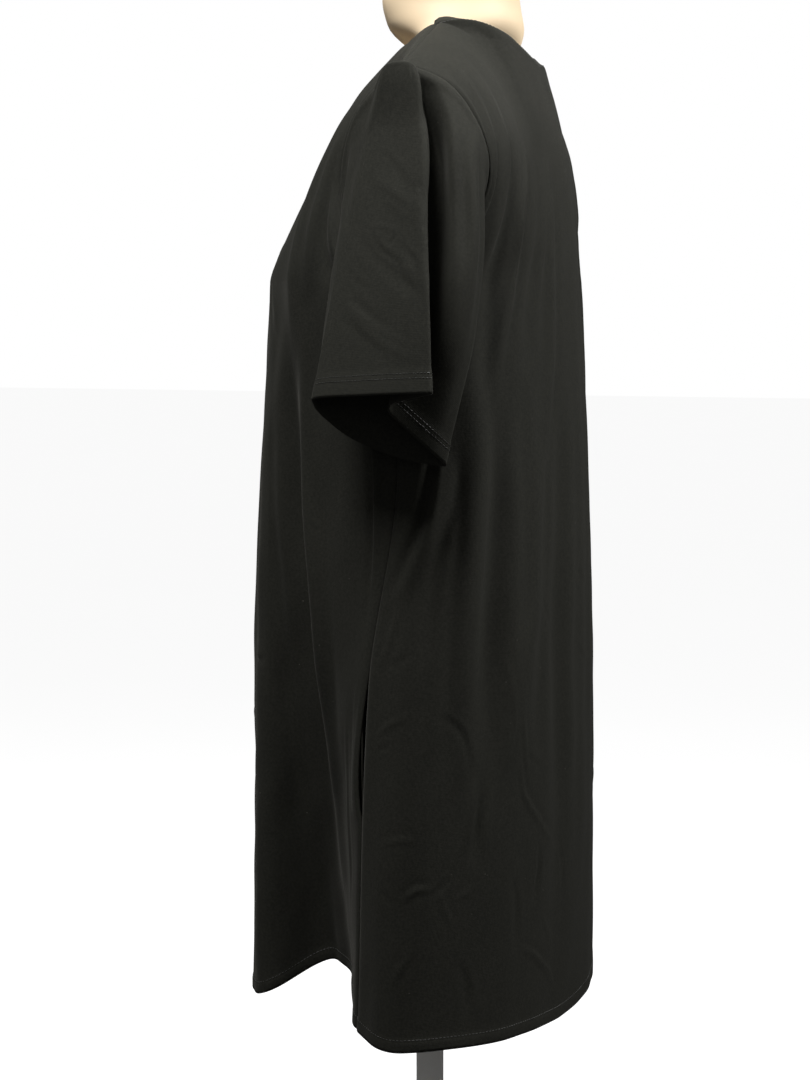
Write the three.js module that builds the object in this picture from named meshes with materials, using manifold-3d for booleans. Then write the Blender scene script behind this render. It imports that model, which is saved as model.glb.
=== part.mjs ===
// A knitted t-shirt dress standing on a limbless dress form, in millimetres, +Z up.
// The front faces -Y and the wearer's left is +X. The floor is at Z = 0 and the stand's pole is on the Z axis.
// Heights in the tables are above the hem, and hemHeight lifts the whole dress above the floor.
import * as THREE from "three";
import { mergeVertices } from "three/addons/utils/BufferGeometryUtils.js";
import Module from "manifold-3d";

const wasm = await Module();
wasm.setup();

// Driving dimensions
const hemHeight = 500;
const clothThickness = 2;
const seamGap = 0.3;
const samplesPerFold = 3;
const skirtRows = 14;
const yokeRows = 12;
const sleeveRows = 10;

// The skirt is a ring at each of these heights above the hem, and the last one is the underarm line.
const levelHeights = { hem: 0, hip: 320, waist: 490, bust: 660 };

// One row for each fold line of the left half, from centre front to centre back, as [x, y] at each level.
// soft is how much of the cloth on each side of the line the fold's rounding takes, and lift is how far the hem
// rises there, where the cloth swings out or is drawn in.
const foldLines = [
  { name: "centreFront", soft: 0.4, lift: 0, hem: [0, -158], hip: [0, -152], waist: [0, -146], bust: [0, -140] },
  { name: "frontSide", soft: 0.42, lift: 0, hem: [55, -160], hip: [55, -153], waist: [55, -146], bust: [55, -136] },
  { name: "frontLobe", soft: 0.4, lift: 6, hem: [116, -132], hip: [106, -133], waist: [102, -128], bust: [100, -118] },
  { name: "valley", soft: 0.36, lift: 38, hem: [66, -76], hip: [96, -102], waist: [112, -108], bust: [128, -98] },
  { name: "ridge", soft: 0.3, lift: 34, hem: [104, -44], hip: [148, -54], waist: [142, -77], bust: [147, -86] },
  { name: "pleat", soft: 0.36, lift: 20, hem: [150, -30], hip: [176, -26], waist: [184, -8], bust: [178, -32] },
  { name: "sideSeam", soft: 0.36, lift: 12, hem: [188, -18], hip: [198, -3], waist: [192, 22], bust: [186, 14] },
  { name: "sideLobe", soft: 0.42, lift: 8, hem: [230, 20], hip: [216, 34], waist: [198, 52], bust: [187, 42] },
  { name: "sideBack", soft: 0.42, lift: 12, hem: [224, 62], hip: [206, 74], waist: [184, 86], bust: [172, 78] },
  { name: "backFold", soft: 0.42, lift: 10, hem: [184, 108], hip: [168, 112], waist: [150, 110], bust: [136, 106] },
  { name: "backSide", soft: 0.42, lift: 6, hem: [130, 131], hip: [120, 131], waist: [98, 129], bust: [88, 121] },
  { name: "backMiddle", soft: 0.42, lift: 0, hem: [66, 145], hip: [58, 143], waist: [50, 139], bust: [45, 130] },
  { name: "centreBack", soft: 0.4, lift: 0, hem: [0, 152], hip: [0, 150], waist: [0, 148], bust: [0, 138] },
];

// Named points of the neckline and shoulders, on the left half
const neckPoint = new THREE.Vector3(84, 29, 884);
const shoulderTip = new THREE.Vector3(190, 27, 839);
const frontNeck = new THREE.Vector3(0, -80, 798);
const backNeck = new THREE.Vector3(0, 106, 849);

// The armhole between the underarm and the shoulder tip, on each panel
const armholePoints = {
  front: [[176, -22, 696], [161, -34, 750], [166, -18, 802]],
  back: [[178, 56, 682], [163, 88, 722], [161, 95, 762], [166, 82, 798], [176, 62, 823]],
};

// How far each yoke stands out from the straight line between the underarm and the shoulder
const yokes = {
  front: { bulge: 62, middle: 0, neckDip: 0.55 },
  back: { bulge: 96, middle: 6, neckDip: 0.6 },
};
const neckColumn = 6;

// One row for each fold line of the left sleeve, as [x, y, z] down the sleeve. They go round the armhole in order
// from just before the shoulder tip, by the back.
const sleeveLines = [
  { name: "frontEdge", soft: 0.2, cap: [193, 0, 782], elbow: [207, -12, 715], low: [220, -25, 645], cuff: [233, -39, 565] },
  { name: "outerFold", soft: 0.16, cap: [217, 52, 782], elbow: [241, 62, 715], low: [261, 72, 650], cuff: [277, 81, 573] },
  { name: "trough", soft: 0.3, cap: [201, 52, 776], elbow: [213, 47, 708], low: [223, 37, 638], cuff: [238, 21, 560] },
  { name: "rearRidge", soft: 0.42, cap: [194, 86, 772], elbow: [216, 92, 698], low: [229, 88, 622], cuff: [230, 60, 524] },
  { name: "rearEdge", soft: 0.3, cap: [179, 97, 732], elbow: [193, 100, 678], low: [207, 94, 608], cuff: [216, 74, 508] },
  { name: "innerBack", soft: 0.42, cap: [197, 78, 672], elbow: [205, 72, 626], low: [206, 60, 572], cuff: [208, 32, 513] },
  { name: "underarm", soft: 0.42, cap: [200, 8, 640], elbow: [206, 4, 608], low: [209, -5, 572], cuff: [212, -13, 530] },
  { name: "innerFront", soft: 0.36, cap: [181, -32, 720], elbow: [198, -34, 672], low: [212, -36, 616], cuff: [223, -36, 552] },
];

const neckBand = { height: 11, lean: 0.55, rows: 3, centreY: 20 };

// The in-seam pocket: a slit in the side seam, and a flat bag inside it that points to the front
const pocket = {
  slitBottom: 210, slitTop: 340, gape: 7,
  bagBottom: 154, bagTop: 348, bagLength: 108, bagThickness: 16, wall: 1.6,
  start: [198.7, -4], direction: [-1, 0], mouthInset: 5,
};

// The dress form, one row for each height above the hem. front and back are depths from the middle, and pinch
// narrows a row's ends, as on the shoulders.
const formRings = [
  { z: 362, halfWidth: 142, front: 90, back: 96, middle: 6, pinch: 0 },
  { z: 368, halfWidth: 148, front: 96, back: 102, middle: 6, pinch: 0 },
  { z: 410, halfWidth: 142, front: 94, back: 100, middle: 6, pinch: 0 },
  { z: 484, halfWidth: 124, front: 88, back: 92, middle: 8, pinch: 0 },
  { z: 560, halfWidth: 138, front: 104, back: 100, middle: 10, pinch: 0 },
  { z: 620, halfWidth: 148, front: 124, back: 104, middle: 12, pinch: 0 },
  { z: 660, halfWidth: 153, front: 128, back: 108, middle: 14, pinch: 0 },
  { z: 700, halfWidth: 153, front: 112, back: 104, middle: 16, pinch: 0 },
  { z: 740, halfWidth: 152, front: 92, back: 96, middle: 19, pinch: 0.1 },
  { z: 780, halfWidth: 156, front: 84, back: 86, middle: 22, pinch: 0.4 },
  { z: 806, halfWidth: 160, front: 62, back: 72, middle: 25, pinch: 1.0 },
  { z: 826, halfWidth: 172, front: 54, back: 64, middle: 27, pinch: 1.8 },
  { z: 838, halfWidth: 174, front: 48, back: 60, middle: 28, pinch: 2.8 },
  { z: 852, halfWidth: 155, front: 46, back: 60, middle: 28, pinch: 3.4 },
  { z: 864, halfWidth: 127, front: 46, back: 62, middle: 28, pinch: 3.0 },
  { z: 867, halfWidth: 115, front: 46, back: 62, middle: 28.5, pinch: 2.8 },
  { z: 873, halfWidth: 75, front: 54, back: 63, middle: 27, pinch: 0.6 },
  { z: 886, halfWidth: 68, front: 62, back: 64, middle: 25, pinch: 0.2 },
  { z: 908, halfWidth: 60, front: 64, back: 60, middle: 22, pinch: 0 },
  { z: 936, halfWidth: 57, front: 61, back: 58, middle: 19, pinch: 0 },
  { z: 966, halfWidth: 56, front: 60, back: 58, middle: 17, pinch: 0 },
  { z: 972, halfWidth: 52, front: 56, back: 54, middle: 17, pinch: 0 },
];
const formSides = 32;

const stand = { poleRadius: 13, poleSides: 28, baseRadius: 165, baseHeight: 16, baseEdge: 6, baseSides: 56 };

const cloth = new THREE.MeshStandardMaterial({ color: 0x1b1a18, roughness: 0.85, metalness: 0 });
const formSkin = new THREE.MeshStandardMaterial({ color: 0xf3dcc0, roughness: 0.7, metalness: 0 });
const standPaint = new THREE.MeshStandardMaterial({ color: 0xf2f1ee, roughness: 0.4, metalness: 0.1 });

const vector = (list) => new THREE.Vector3(...list);
const mirrored = (point) => new THREE.Vector3(-point.x, point.y, point.z);

// A closed ring through fold points: each corner is rounded by a short quadratic curve.
function roundedRing(corners, softness, samples) {
  const count = corners.length;
  return corners.flatMap((corner, k) => {
    const before = corners[(k + count - 1) % count];
    const after = corners[(k + 1) % count];
    const entry = corner.clone().lerp(before, softness[k]);
    const leave = corner.clone().lerp(after, softness[k]);
    const curve = new THREE.QuadraticBezierCurve3(entry, corner, leave);
    return Array.from({ length: samples }, (_, i) => curve.getPoint(i / (samples - 1)));
  });
}

// Smooth interpolation through values at uneven places, with a slope at each from its neighbours.
function smoothThrough(places, points, place) {
  let k = 0;
  while (k < places.length - 2 && place > places[k + 1]) k += 1;
  const slope = (i) => {
    const a = Math.max(0, i - 1);
    const b = Math.min(places.length - 1, i + 1);
    return points[b].clone().sub(points[a]).divideScalar(places[b] - places[a]);
  };
  const span = places[k + 1] - places[k];
  const t = (place - places[k]) / span;
  const start = points[k].clone().multiplyScalar((1 + 2 * t) * (1 - t) ** 2);
  const end = points[k + 1].clone().multiplyScalar(t * t * (3 - 2 * t));
  start.addScaledVector(slope(k), span * t * (1 - t) ** 2);
  end.addScaledVector(slope(k + 1), -span * t * t * (1 - t));
  return start.add(end);
}

// The four rings of the skirt, each going right round the body from centre front by the left side.
const levelNames = Object.keys(levelHeights);
const levelRings = levelNames.map((level) => {
  const left = foldLines.map((line) => {
    const lift = level === "hem" ? line.lift : 0;
    return new THREE.Vector3(...line[level], levelHeights[level] + lift);
  });
  const softness = foldLines.map((line) => line.soft);
  const right = left.slice(1, -1).reverse().map(mirrored);
  const corners = [...left, ...right];
  return roundedRing(corners, [...softness, ...softness.slice(1, -1).reverse()], samplesPerFold);
});
const ringCount = levelRings[0].length;
const middleSample = (samplesPerFold - 1) / 2;
const lineColumn = (name) => foldLines.findIndex((line) => line.name === name) * samplesPerFold + middleSample;
const seamColumn = lineColumn("sideSeam");
const backColumn = lineColumn("centreBack");
const frontColumn = lineColumn("centreFront");

function skirtPoint(column, height) {
  const index = (column + ringCount) % ringCount;
  const points = levelRings.map((ring) => ring[index]);
  return smoothThrough(Object.values(levelHeights), points, height);
}

// The neckline from the centre to the neck point, and the shoulder seam from there to the tip
function topEdge(side, column, columns) {
  const centre = side === "front" ? frontNeck : backNeck;
  const dip = yokes[side].neckDip;
  if (column >= neckColumn) {
    return neckPoint.clone().lerp(shoulderTip, (column - neckColumn) / (columns - neckColumn));
  }
  const corner = new THREE.Vector3(neckPoint.x * dip, centre.y, centre.z);
  const towards = new THREE.Vector3(neckPoint.x, centre.y + (neckPoint.y - centre.y) * (1 - dip), centre.z + (neckPoint.z - centre.z) * (1 - dip) * 0.6);
  return new THREE.CubicBezierCurve3(centre, corner, towards, neckPoint).getPoint(column / neckColumn);
}

const underarm = skirtPoint(seamColumn, levelHeights.bust);
const armholes = Object.fromEntries(
  Object.entries(armholePoints).map(([side, points]) => [
    side,
    new THREE.CatmullRomCurve3([underarm, ...points.map(vector), shoulderTip], false, "centripetal"),
  ]),
);

// A point of the left half of a yoke: across from the centre line, and up from the underarm line.
function roughYokePoint(side, column, columns, rise) {
  const start = side === "front" ? frontColumn + column : backColumn - column;
  const point = skirtPoint(start, levelHeights.bust).lerp(topEdge(side, column, columns), rise);
  const edge = armholes[side].getPointAt(rise).sub(underarm.clone().lerp(shoulderTip, rise));
  point.addScaledVector(edge, (column / columns) ** 3);
  const { bulge, middle } = yokes[side];
  const overNeck = Math.min(1, column / neckColumn);
  const overShoulder = Math.max(0, (column - neckColumn) / (columns - neckColumn));
  const standOut = bulge * overNeck ** 2 * (1 - overShoulder ** 2.5) * rise * Math.sqrt(Math.max(0, 1 - rise));
  const rounding = middle * (1 - overNeck) * Math.sin(Math.PI * rise);
  point.y += (side === "front" ? -1 : 1) * (standOut + rounding);
  return point;
}

// The same point, eased so that the yoke leaves the underarm line in the skirt's own direction.
function yokePoint(side, column, columns, rise) {
  const start = side === "front" ? frontColumn + column : backColumn - column;
  const point = roughYokePoint(side, column, columns, rise);
  const base = skirtPoint(start, levelHeights.bust);
  const skirtSlope = base.clone().sub(skirtPoint(start, levelHeights.bust - 10)).divideScalar(10);
  const yokeSlope = roughYokePoint(side, column, columns, 0.02).sub(base);
  const turn = skirtSlope.multiplyScalar(yokeSlope.z).sub(yokeSlope).divideScalar(0.02);
  return point.addScaledVector(turn, rise * (1 - rise) ** 8 * (1 - (column / columns) ** 3));
}

// The pocket's slit, where the front panel's edge falls back from the seam
function slitOpening(height) {
  const t = (height - pocket.slitBottom) / (pocket.slitTop - pocket.slitBottom);
  return t <= 0 || t >= 1 ? 0 : pocket.gape * Math.sin(Math.PI * t);
}

const skirtHeights = Array.from({ length: skirtRows }, (_, i) => (levelHeights.bust * i) / skirtRows);
const yokeRises = Array.from({ length: yokeRows + 1 }, (_, i) => Math.sin((Math.PI / 2) * (i / yokeRows)));

// One panel from seam to seam, as rows of points from the hem up.
function panelGrid(side) {
  const columns = side === "front" ? seamColumn - frontColumn : backColumn - seamColumn;
  const leftHalf = (column) => {
    const ringColumn = side === "front" ? frontColumn + column : backColumn - column;
    const skirt = skirtHeights.map((height) => {
      const point = skirtPoint(ringColumn, height);
      if (side === "front" && column >= columns - 1) {
        const share = column === columns ? 1 : 0.6;
        point.y -= slitOpening(height) * share;
        point.x -= slitOpening(height) * share * 0.4;
      }
      return point;
    });
    return [...skirt, ...yokeRises.map((rise) => yokePoint(side, column, columns, rise))];
  };
  const halfColumns = Array.from({ length: columns + 1 }, (_, column) => leftHalf(column));
  const otherHalf = halfColumns.slice(1).reverse().map((line) => line.map(mirrored));
  const all = side === "front" ? [...otherHalf, ...halfColumns] : [...halfColumns.slice().reverse(), ...otherHalf.reverse()];
  return all[0].map((_, row) => all.map((line) => line[row]));
}

function gridNormals(rows, closed) {
  const last = rows.length - 1;
  return rows.map((row, i) =>
    row.map((_, j) => {
      const count = row.length;
      const right = closed ? row[(j + 1) % count] : row[Math.min(count - 1, j + 1)];
      const left = closed ? row[(j + count - 1) % count] : row[Math.max(0, j - 1)];
      const up = rows[Math.min(last, i + 1)][j];
      const down = rows[Math.max(0, i - 1)][j];
      return right.clone().sub(left).cross(up.clone().sub(down)).normalize();
    }),
  );
}

// A wall of cloth on a grid of points, closed along every edge.
function clothWall(rows, normals, closed, thickness = clothThickness) {
  const height = rows.length;
  const width = rows[0].length;
  const positions = [];
  for (const sign of [0.5, -0.5]) {
    rows.forEach((row, i) => row.forEach((point, j) => {
      positions.push(...point.clone().addScaledVector(normals[i][j], sign * thickness).toArray());
    }));
  }
  const inside = height * width;
  const at = (i, j, layer) => layer * inside + i * width + ((j + width) % width);
  const index = [];
  const quad = (a, b, c, d) => index.push(a, b, c, a, c, d);
  const spans = closed ? width : width - 1;
  for (let i = 0; i < height - 1; i += 1) {
    for (let j = 0; j < spans; j += 1) {
      quad(at(i, j, 0), at(i, j + 1, 0), at(i + 1, j + 1, 0), at(i + 1, j, 0));
      quad(at(i, j, 1), at(i + 1, j, 1), at(i + 1, j + 1, 1), at(i, j + 1, 1));
    }
    if (!closed) {
      quad(at(i, 0, 0), at(i + 1, 0, 0), at(i + 1, 0, 1), at(i, 0, 1));
      quad(at(i, width - 1, 0), at(i, width - 1, 1), at(i + 1, width - 1, 1), at(i + 1, width - 1, 0));
    }
  }
  for (let j = 0; j < spans; j += 1) {
    quad(at(0, j, 0), at(0, j, 1), at(0, j + 1, 1), at(0, j + 1, 0));
    quad(at(height - 1, j, 0), at(height - 1, j + 1, 0), at(height - 1, j + 1, 1), at(height - 1, j, 1));
  }
  const geometry = new THREE.BufferGeometry();
  geometry.setAttribute("position", new THREE.Float32BufferAttribute(positions, 3));
  geometry.setIndex(index);
  return geometry;
}

// Neighbouring panels share one normal along a seam, so that their rims lie face to face.
function shareNormals(first, second) {
  const shared = first.clone().add(second).normalize();
  first.copy(shared);
  second.copy(shared);
}

function drawBack(grid, row, column, neighbour, distance) {
  const point = grid[row][column];
  const step = grid[neighbour[0]][neighbour[1]].clone().sub(point).normalize();
  point.addScaledVector(step, distance);
}

function buildPanels() {
  const front = panelGrid("front");
  const back = panelGrid("back");
  const frontNormals = gridNormals(front, false);
  const backNormals = gridNormals(back, false);
  const right = 0;
  const left = front[0].length - 1;
  const top = front.length - 1;
  const shoulderColumns = seamColumn - frontColumn - neckColumn;
  for (let row = 0; row <= skirtRows; row += 1) {
    shareNormals(frontNormals[row][left], backNormals[row][right]);
    shareNormals(frontNormals[row][right], backNormals[row][left]);
  }
  for (let k = 0; k <= shoulderColumns; k += 1) {
    shareNormals(frontNormals[top][left - k], backNormals[top][right + k]);
    shareNormals(frontNormals[top][right + k], backNormals[top][left - k]);
  }
  for (const grid of [front, back]) {
    for (let row = 0; row <= skirtRows; row += 1) {
      drawBack(grid, row, left, [row, left - 1], seamGap / 2);
      drawBack(grid, row, right, [row, right + 1], seamGap / 2);
    }
    for (let k = 0; k <= shoulderColumns; k += 1) {
      drawBack(grid, top, left - k, [top - 1, left - k], seamGap / 2);
      drawBack(grid, top, right + k, [top - 1, right + k], seamGap / 2);
    }
  }
  return { front, back, frontNormals, backNormals };
}

// The armhole's edge on the two panels as one loop, from the shoulder tip down the back and up the front
function armholeLoop(panels) {
  const edge = (side, column) => panels[side].slice(skirtRows).map((row, k) => ({
    point: row[column], normal: panels[`${side}Normals`][skirtRows + k][column],
  }));
  const back = edge("back", 0);
  const front = edge("front", panels.front[0].length - 1);
  return [...back.slice(1).reverse(), ...front.slice(0, -1)];
}

function sleeveGrid(panels) {
  const softness = sleeveLines.map((line) => line.soft);
  const levels = ["cap", "elbow", "low", "cuff"].map((level) =>
    roundedRing(sleeveLines.map((line) => vector(line[level])), softness, samplesPerFold));
  const places = [0, 0.25, 0.5, 0.75, 1];
  const loop = armholeLoop(panels);
  const tipColumn = sleeveLines.findIndex((line) => line.name === "outerFold") * samplesPerFold + middleSample;
  const armRing = levels[0].map((_, j) => {
    const { point, normal } = loop[(j - tipColumn + loop.length) % loop.length];
    const leaving = levels[0][j].clone().sub(point).normalize();
    const lap = 2 * clothThickness * (1 - Math.max(0, leaving.dot(normal)) ** 2);
    const start = point.clone().add(new THREE.Vector3(clothThickness / 2 + seamGap * 2, 0, 0));
    return start.addScaledVector(normal, lap);
  });
  const rings = [armRing, ...levels];
  return Array.from({ length: sleeveRows + 1 }, (_, row) => {
    const place = 1 - row / sleeveRows;
    return armRing.map((_, j) => smoothThrough(places, rings.map((ring) => ring[j]), place));
  });
}

// The band round the neckline continues each panel and then leans towards the neck.
function buildBand(panels) {
  const top = panels.front.length - 1;
  const middle = (panels.front[0].length - 1) / 2;
  const loop = [
    ...panels.front[top].keys().filter((j) => j >= middle && j < middle + neckColumn).map((j) => ["front", j]),
    ...panels.back[top].keys().filter((j) => Math.abs(j - middle) <= neckColumn).map((j) => ["back", j]),
    ...panels.front[top].keys().filter((j) => j > middle - neckColumn && j < middle).map((j) => ["front", j]),
  ];
  const steps = loop.map(([side, j]) => {
    const point = panels[side][top][j];
    const onwards = point.clone().sub(panels[side][top - 1][j]).normalize();
    const inward = new THREE.Vector3(-point.x, neckBand.centreY - point.y, 0).normalize();
    const leaning = inward.multiplyScalar(neckBand.lean).add(new THREE.Vector3(0, 0, 1)).normalize();
    return onwards.lerp(leaning, 0.6).normalize();
  });
  const rows = Array.from({ length: neckBand.rows }, (_, row) => {
    const rise = seamGap * 4 + (neckBand.height * row) / (neckBand.rows - 1);
    return loop.map(([side, j], k) => panels[side][top][j].clone().addScaledVector(steps[k], rise));
  });
  const normals = gridNormals(rows, true);
  loop.forEach(([side, j], k) => normals[0][k].copy(panels[`${side}Normals`][top][j]));
  return clothWall(rows, normals, true);
}

function asManifold(geometry) {
  const bare = new THREE.BufferGeometry();
  bare.setAttribute("position", geometry.getAttribute("position"));
  if (geometry.index) bare.setIndex(geometry.index);
  const merged = mergeVertices(bare, 1e-4);
  return new wasm.Manifold(new wasm.Mesh({
    numProp: 3,
    vertProperties: new Float32Array(merged.attributes.position.array),
    triVerts: new Uint32Array(merged.index.array),
  }));
}

function asGeometry(solid) {
  const mesh = solid.getMesh();
  const geometry = new THREE.BufferGeometry();
  geometry.setAttribute("position", new THREE.Float32BufferAttribute(mesh.vertProperties, 3));
  geometry.setIndex(new THREE.Uint32BufferAttribute(mesh.triVerts, 1));
  return geometry;
}

// A closed stack of rings, each a list of points in the same order, with flat ends.
function loft(rings) {
  const sides = rings[0].length;
  const positions = rings.flat().flatMap((point) => point.toArray());
  const ends = [rings[0], rings[rings.length - 1]].map((ring) =>
    ring.reduce((sum, point) => sum.add(point), new THREE.Vector3()).divideScalar(sides));
  positions.push(...ends[0].toArray(), ...ends[1].toArray());
  const bottom = rings.length * sides;
  const index = [];
  for (let k = 0; k < sides; k += 1) {
    const next = (k + 1) % sides;
    for (let i = 0; i < rings.length - 1; i += 1) {
      const a = i * sides;
      const b = a + sides;
      index.push(a + k, a + next, b + next, a + k, b + next, b + k);
    }
    index.push(bottom, next, k);
    index.push(bottom + 1, (rings.length - 1) * sides + k, (rings.length - 1) * sides + next);
  }
  const geometry = new THREE.BufferGeometry();
  geometry.setAttribute("position", new THREE.Float32BufferAttribute(positions, 3));
  geometry.setIndex(index);
  return geometry;
}

function pocketRings(inset) {
  const rows = 7;
  const sides = 16;
  const along = new THREE.Vector3(...pocket.direction, 0).normalize();
  const across = new THREE.Vector3(-along.y, along.x, 0);
  const origin = new THREE.Vector3(...pocket.start, 0);
  return Array.from({ length: rows + 1 }, (_, row) => {
    const turn = (Math.PI * (row + 0.5)) / (rows + 1);
    const middle = (pocket.bagBottom + pocket.bagTop) / 2;
    const half = (pocket.bagTop - pocket.bagBottom) / 2 - inset;
    const reach = (pocket.bagLength / 2 - inset) * Math.sin(turn) ** 0.5;
    const thick = (pocket.bagThickness / 2 - inset) * Math.sin(turn) ** 0.5;
    return Array.from({ length: sides }, (_, k) => {
      const angle = (2 * Math.PI * k) / sides;
      const fullness = Math.sign(Math.sin(angle)) * Math.abs(Math.sin(angle)) ** 0.6;
      return origin.clone()
        .addScaledVector(along, pocket.bagLength / 2 + reach * Math.cos(angle))
        .addScaledVector(across, thick * fullness)
        .setZ(middle - half * Math.cos(turn));
    });
  });
}

// A flat pouch with its mouth cut open towards the slit.
function buildPocket() {
  const outer = asManifold(loft(pocketRings(0)));
  const inner = asManifold(loft(pocketRings(pocket.wall)));
  const mouthHeight = pocket.slitTop - pocket.slitBottom - 20;
  const mouth = new THREE.BoxGeometry(pocket.mouthInset * 8, pocket.bagThickness * 4, mouthHeight);
  mouth.rotateZ(Math.atan2(pocket.direction[1], pocket.direction[0]));
  mouth.translate(
    pocket.start[0] - pocket.direction[0] * pocket.mouthInset * 2.6,
    pocket.start[1] - pocket.direction[1] * pocket.mouthInset * 2.6,
    (pocket.slitTop + pocket.slitBottom) / 2,
  );
  return asGeometry(outer.subtract(inner).subtract(asManifold(mouth)));
}

function buildForm() {
  const ring = (row) => Array.from({ length: formSides }, (_, k) => {
    const angle = (2 * Math.PI * k) / formSides;
    const depth = Math.sin(angle) < 0 ? row.front : row.back;
    const side = Math.sign(Math.cos(angle)) * Math.abs(Math.cos(angle)) ** (0.86 + row.pinch);
    const out = Math.sign(Math.sin(angle)) * Math.abs(Math.sin(angle)) ** (0.92 + 0.35 * row.pinch);
    return new THREE.Vector3(row.halfWidth * side, row.middle + depth * out, row.z);
  });
  return loft(formRings.map(ring));
}

const dress = new THREE.Group();

function addMesh(name, geometry, material, mirror = false) {
  const mesh = new THREE.Mesh(geometry, material);
  mesh.name = name;
  if (mirror) mesh.scale.x = -1;
  dress.add(mesh);
}

const panels = buildPanels();
addMesh("front_panel", clothWall(panels.front, panels.frontNormals, false), cloth);
addMesh("back_panel", clothWall(panels.back, panels.backNormals, false), cloth);
const sleeve = sleeveGrid(panels);
const sleeveNormals = gridNormals(sleeve, true);
const pouch = buildPocket();
for (const [side, mirror] of [["left", false], ["right", true]]) {
  addMesh(`sleeve_${side}`, clothWall(sleeve, sleeveNormals, true), cloth, mirror);
  addMesh(`pocket_bag_${side}`, pouch, cloth, mirror);
}
addMesh("neck_band", buildBand(panels), cloth);
addMesh("dress_form", buildForm(), formSkin);
dress.position.z = hemHeight;

const pole = new THREE.CylinderGeometry(
  stand.poleRadius, stand.poleRadius,
  hemHeight + formRings[0].z - stand.baseHeight - 2 * seamGap, stand.poleSides,
);
pole.rotateX(Math.PI / 2);
pole.translate(0, 0, (hemHeight + formRings[0].z + stand.baseHeight) / 2);
const base = new THREE.LatheGeometry([
  new THREE.Vector2(0, 0),
  new THREE.Vector2(stand.baseRadius, 0),
  new THREE.Vector2(stand.baseRadius, stand.baseHeight - stand.baseEdge),
  new THREE.Vector2(stand.baseRadius - stand.baseEdge, stand.baseHeight),
  new THREE.Vector2(0, stand.baseHeight),
], stand.baseSides);
base.rotateX(Math.PI / 2);

const part = new THREE.Group();
part.add(dress);
for (const [name, geometry] of [["stand_pole", pole], ["stand_base", base]]) {
  const mesh = new THREE.Mesh(geometry, standPaint);
  mesh.name = name;
  part.add(mesh);
}

export default part;
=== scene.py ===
"""A black jersey t-shirt dress on a limbless dress form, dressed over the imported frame.

The front faces -Y and the wearer's left is +X. Heights of the dress are above its hem, which hangs HEM_HEIGHT
above the floor. Sizes are in millimetres, and MM turns them into Blender's metres.
"""

import math

import bpy
import numpy as np
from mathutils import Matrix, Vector


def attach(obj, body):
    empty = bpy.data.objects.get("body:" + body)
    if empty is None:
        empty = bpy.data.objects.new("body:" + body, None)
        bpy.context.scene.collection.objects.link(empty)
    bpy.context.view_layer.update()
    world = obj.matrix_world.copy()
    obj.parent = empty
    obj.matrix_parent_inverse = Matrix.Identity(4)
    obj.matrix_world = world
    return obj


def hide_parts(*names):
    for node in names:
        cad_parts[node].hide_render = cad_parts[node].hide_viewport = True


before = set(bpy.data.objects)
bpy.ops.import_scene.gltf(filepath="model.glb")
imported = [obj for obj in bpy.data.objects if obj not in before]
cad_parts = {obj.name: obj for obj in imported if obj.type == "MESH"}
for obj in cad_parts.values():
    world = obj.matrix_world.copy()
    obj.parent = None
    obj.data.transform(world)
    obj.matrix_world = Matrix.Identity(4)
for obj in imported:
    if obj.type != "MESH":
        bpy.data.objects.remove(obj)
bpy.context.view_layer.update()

MM = 0.001
HEM_HEIGHT = 500

# ---- Camera -------------------------------------------------------------------------------------------------
# It stands 2 m from the pole at the wearer's left, a little behind, and looks slightly down. The pole is a
# little right of the middle of the picture.
CAMERA_AZIMUTH = math.radians(105)
CAMERA_DISTANCE = 2000
CAMERA_HEIGHT = HEM_HEIGHT + 660
CAMERA_PITCH = math.radians(6.81)

outward = Vector((math.sin(CAMERA_AZIMUTH), -math.cos(CAMERA_AZIMUTH), 0))
camera_data = bpy.data.cameras.new("dress_camera")
camera_data.sensor_fit = "AUTO"
camera_data.sensor_width = 36
camera_data.lens = 72
camera_data.shift_x = -0.0231
camera_data.clip_end = 60
camera = bpy.data.objects.new("dress_camera", camera_data)
camera.location = outward * CAMERA_DISTANCE * MM + Vector((0, 0, CAMERA_HEIGHT * MM))
looking = -outward * math.cos(CAMERA_PITCH) - Vector((0, 0, math.sin(CAMERA_PITCH)))
camera.rotation_euler = looking.to_track_quat("-Z", "Y").to_euler()
bpy.context.scene.collection.objects.link(camera)
bpy.context.scene.camera = camera


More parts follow.
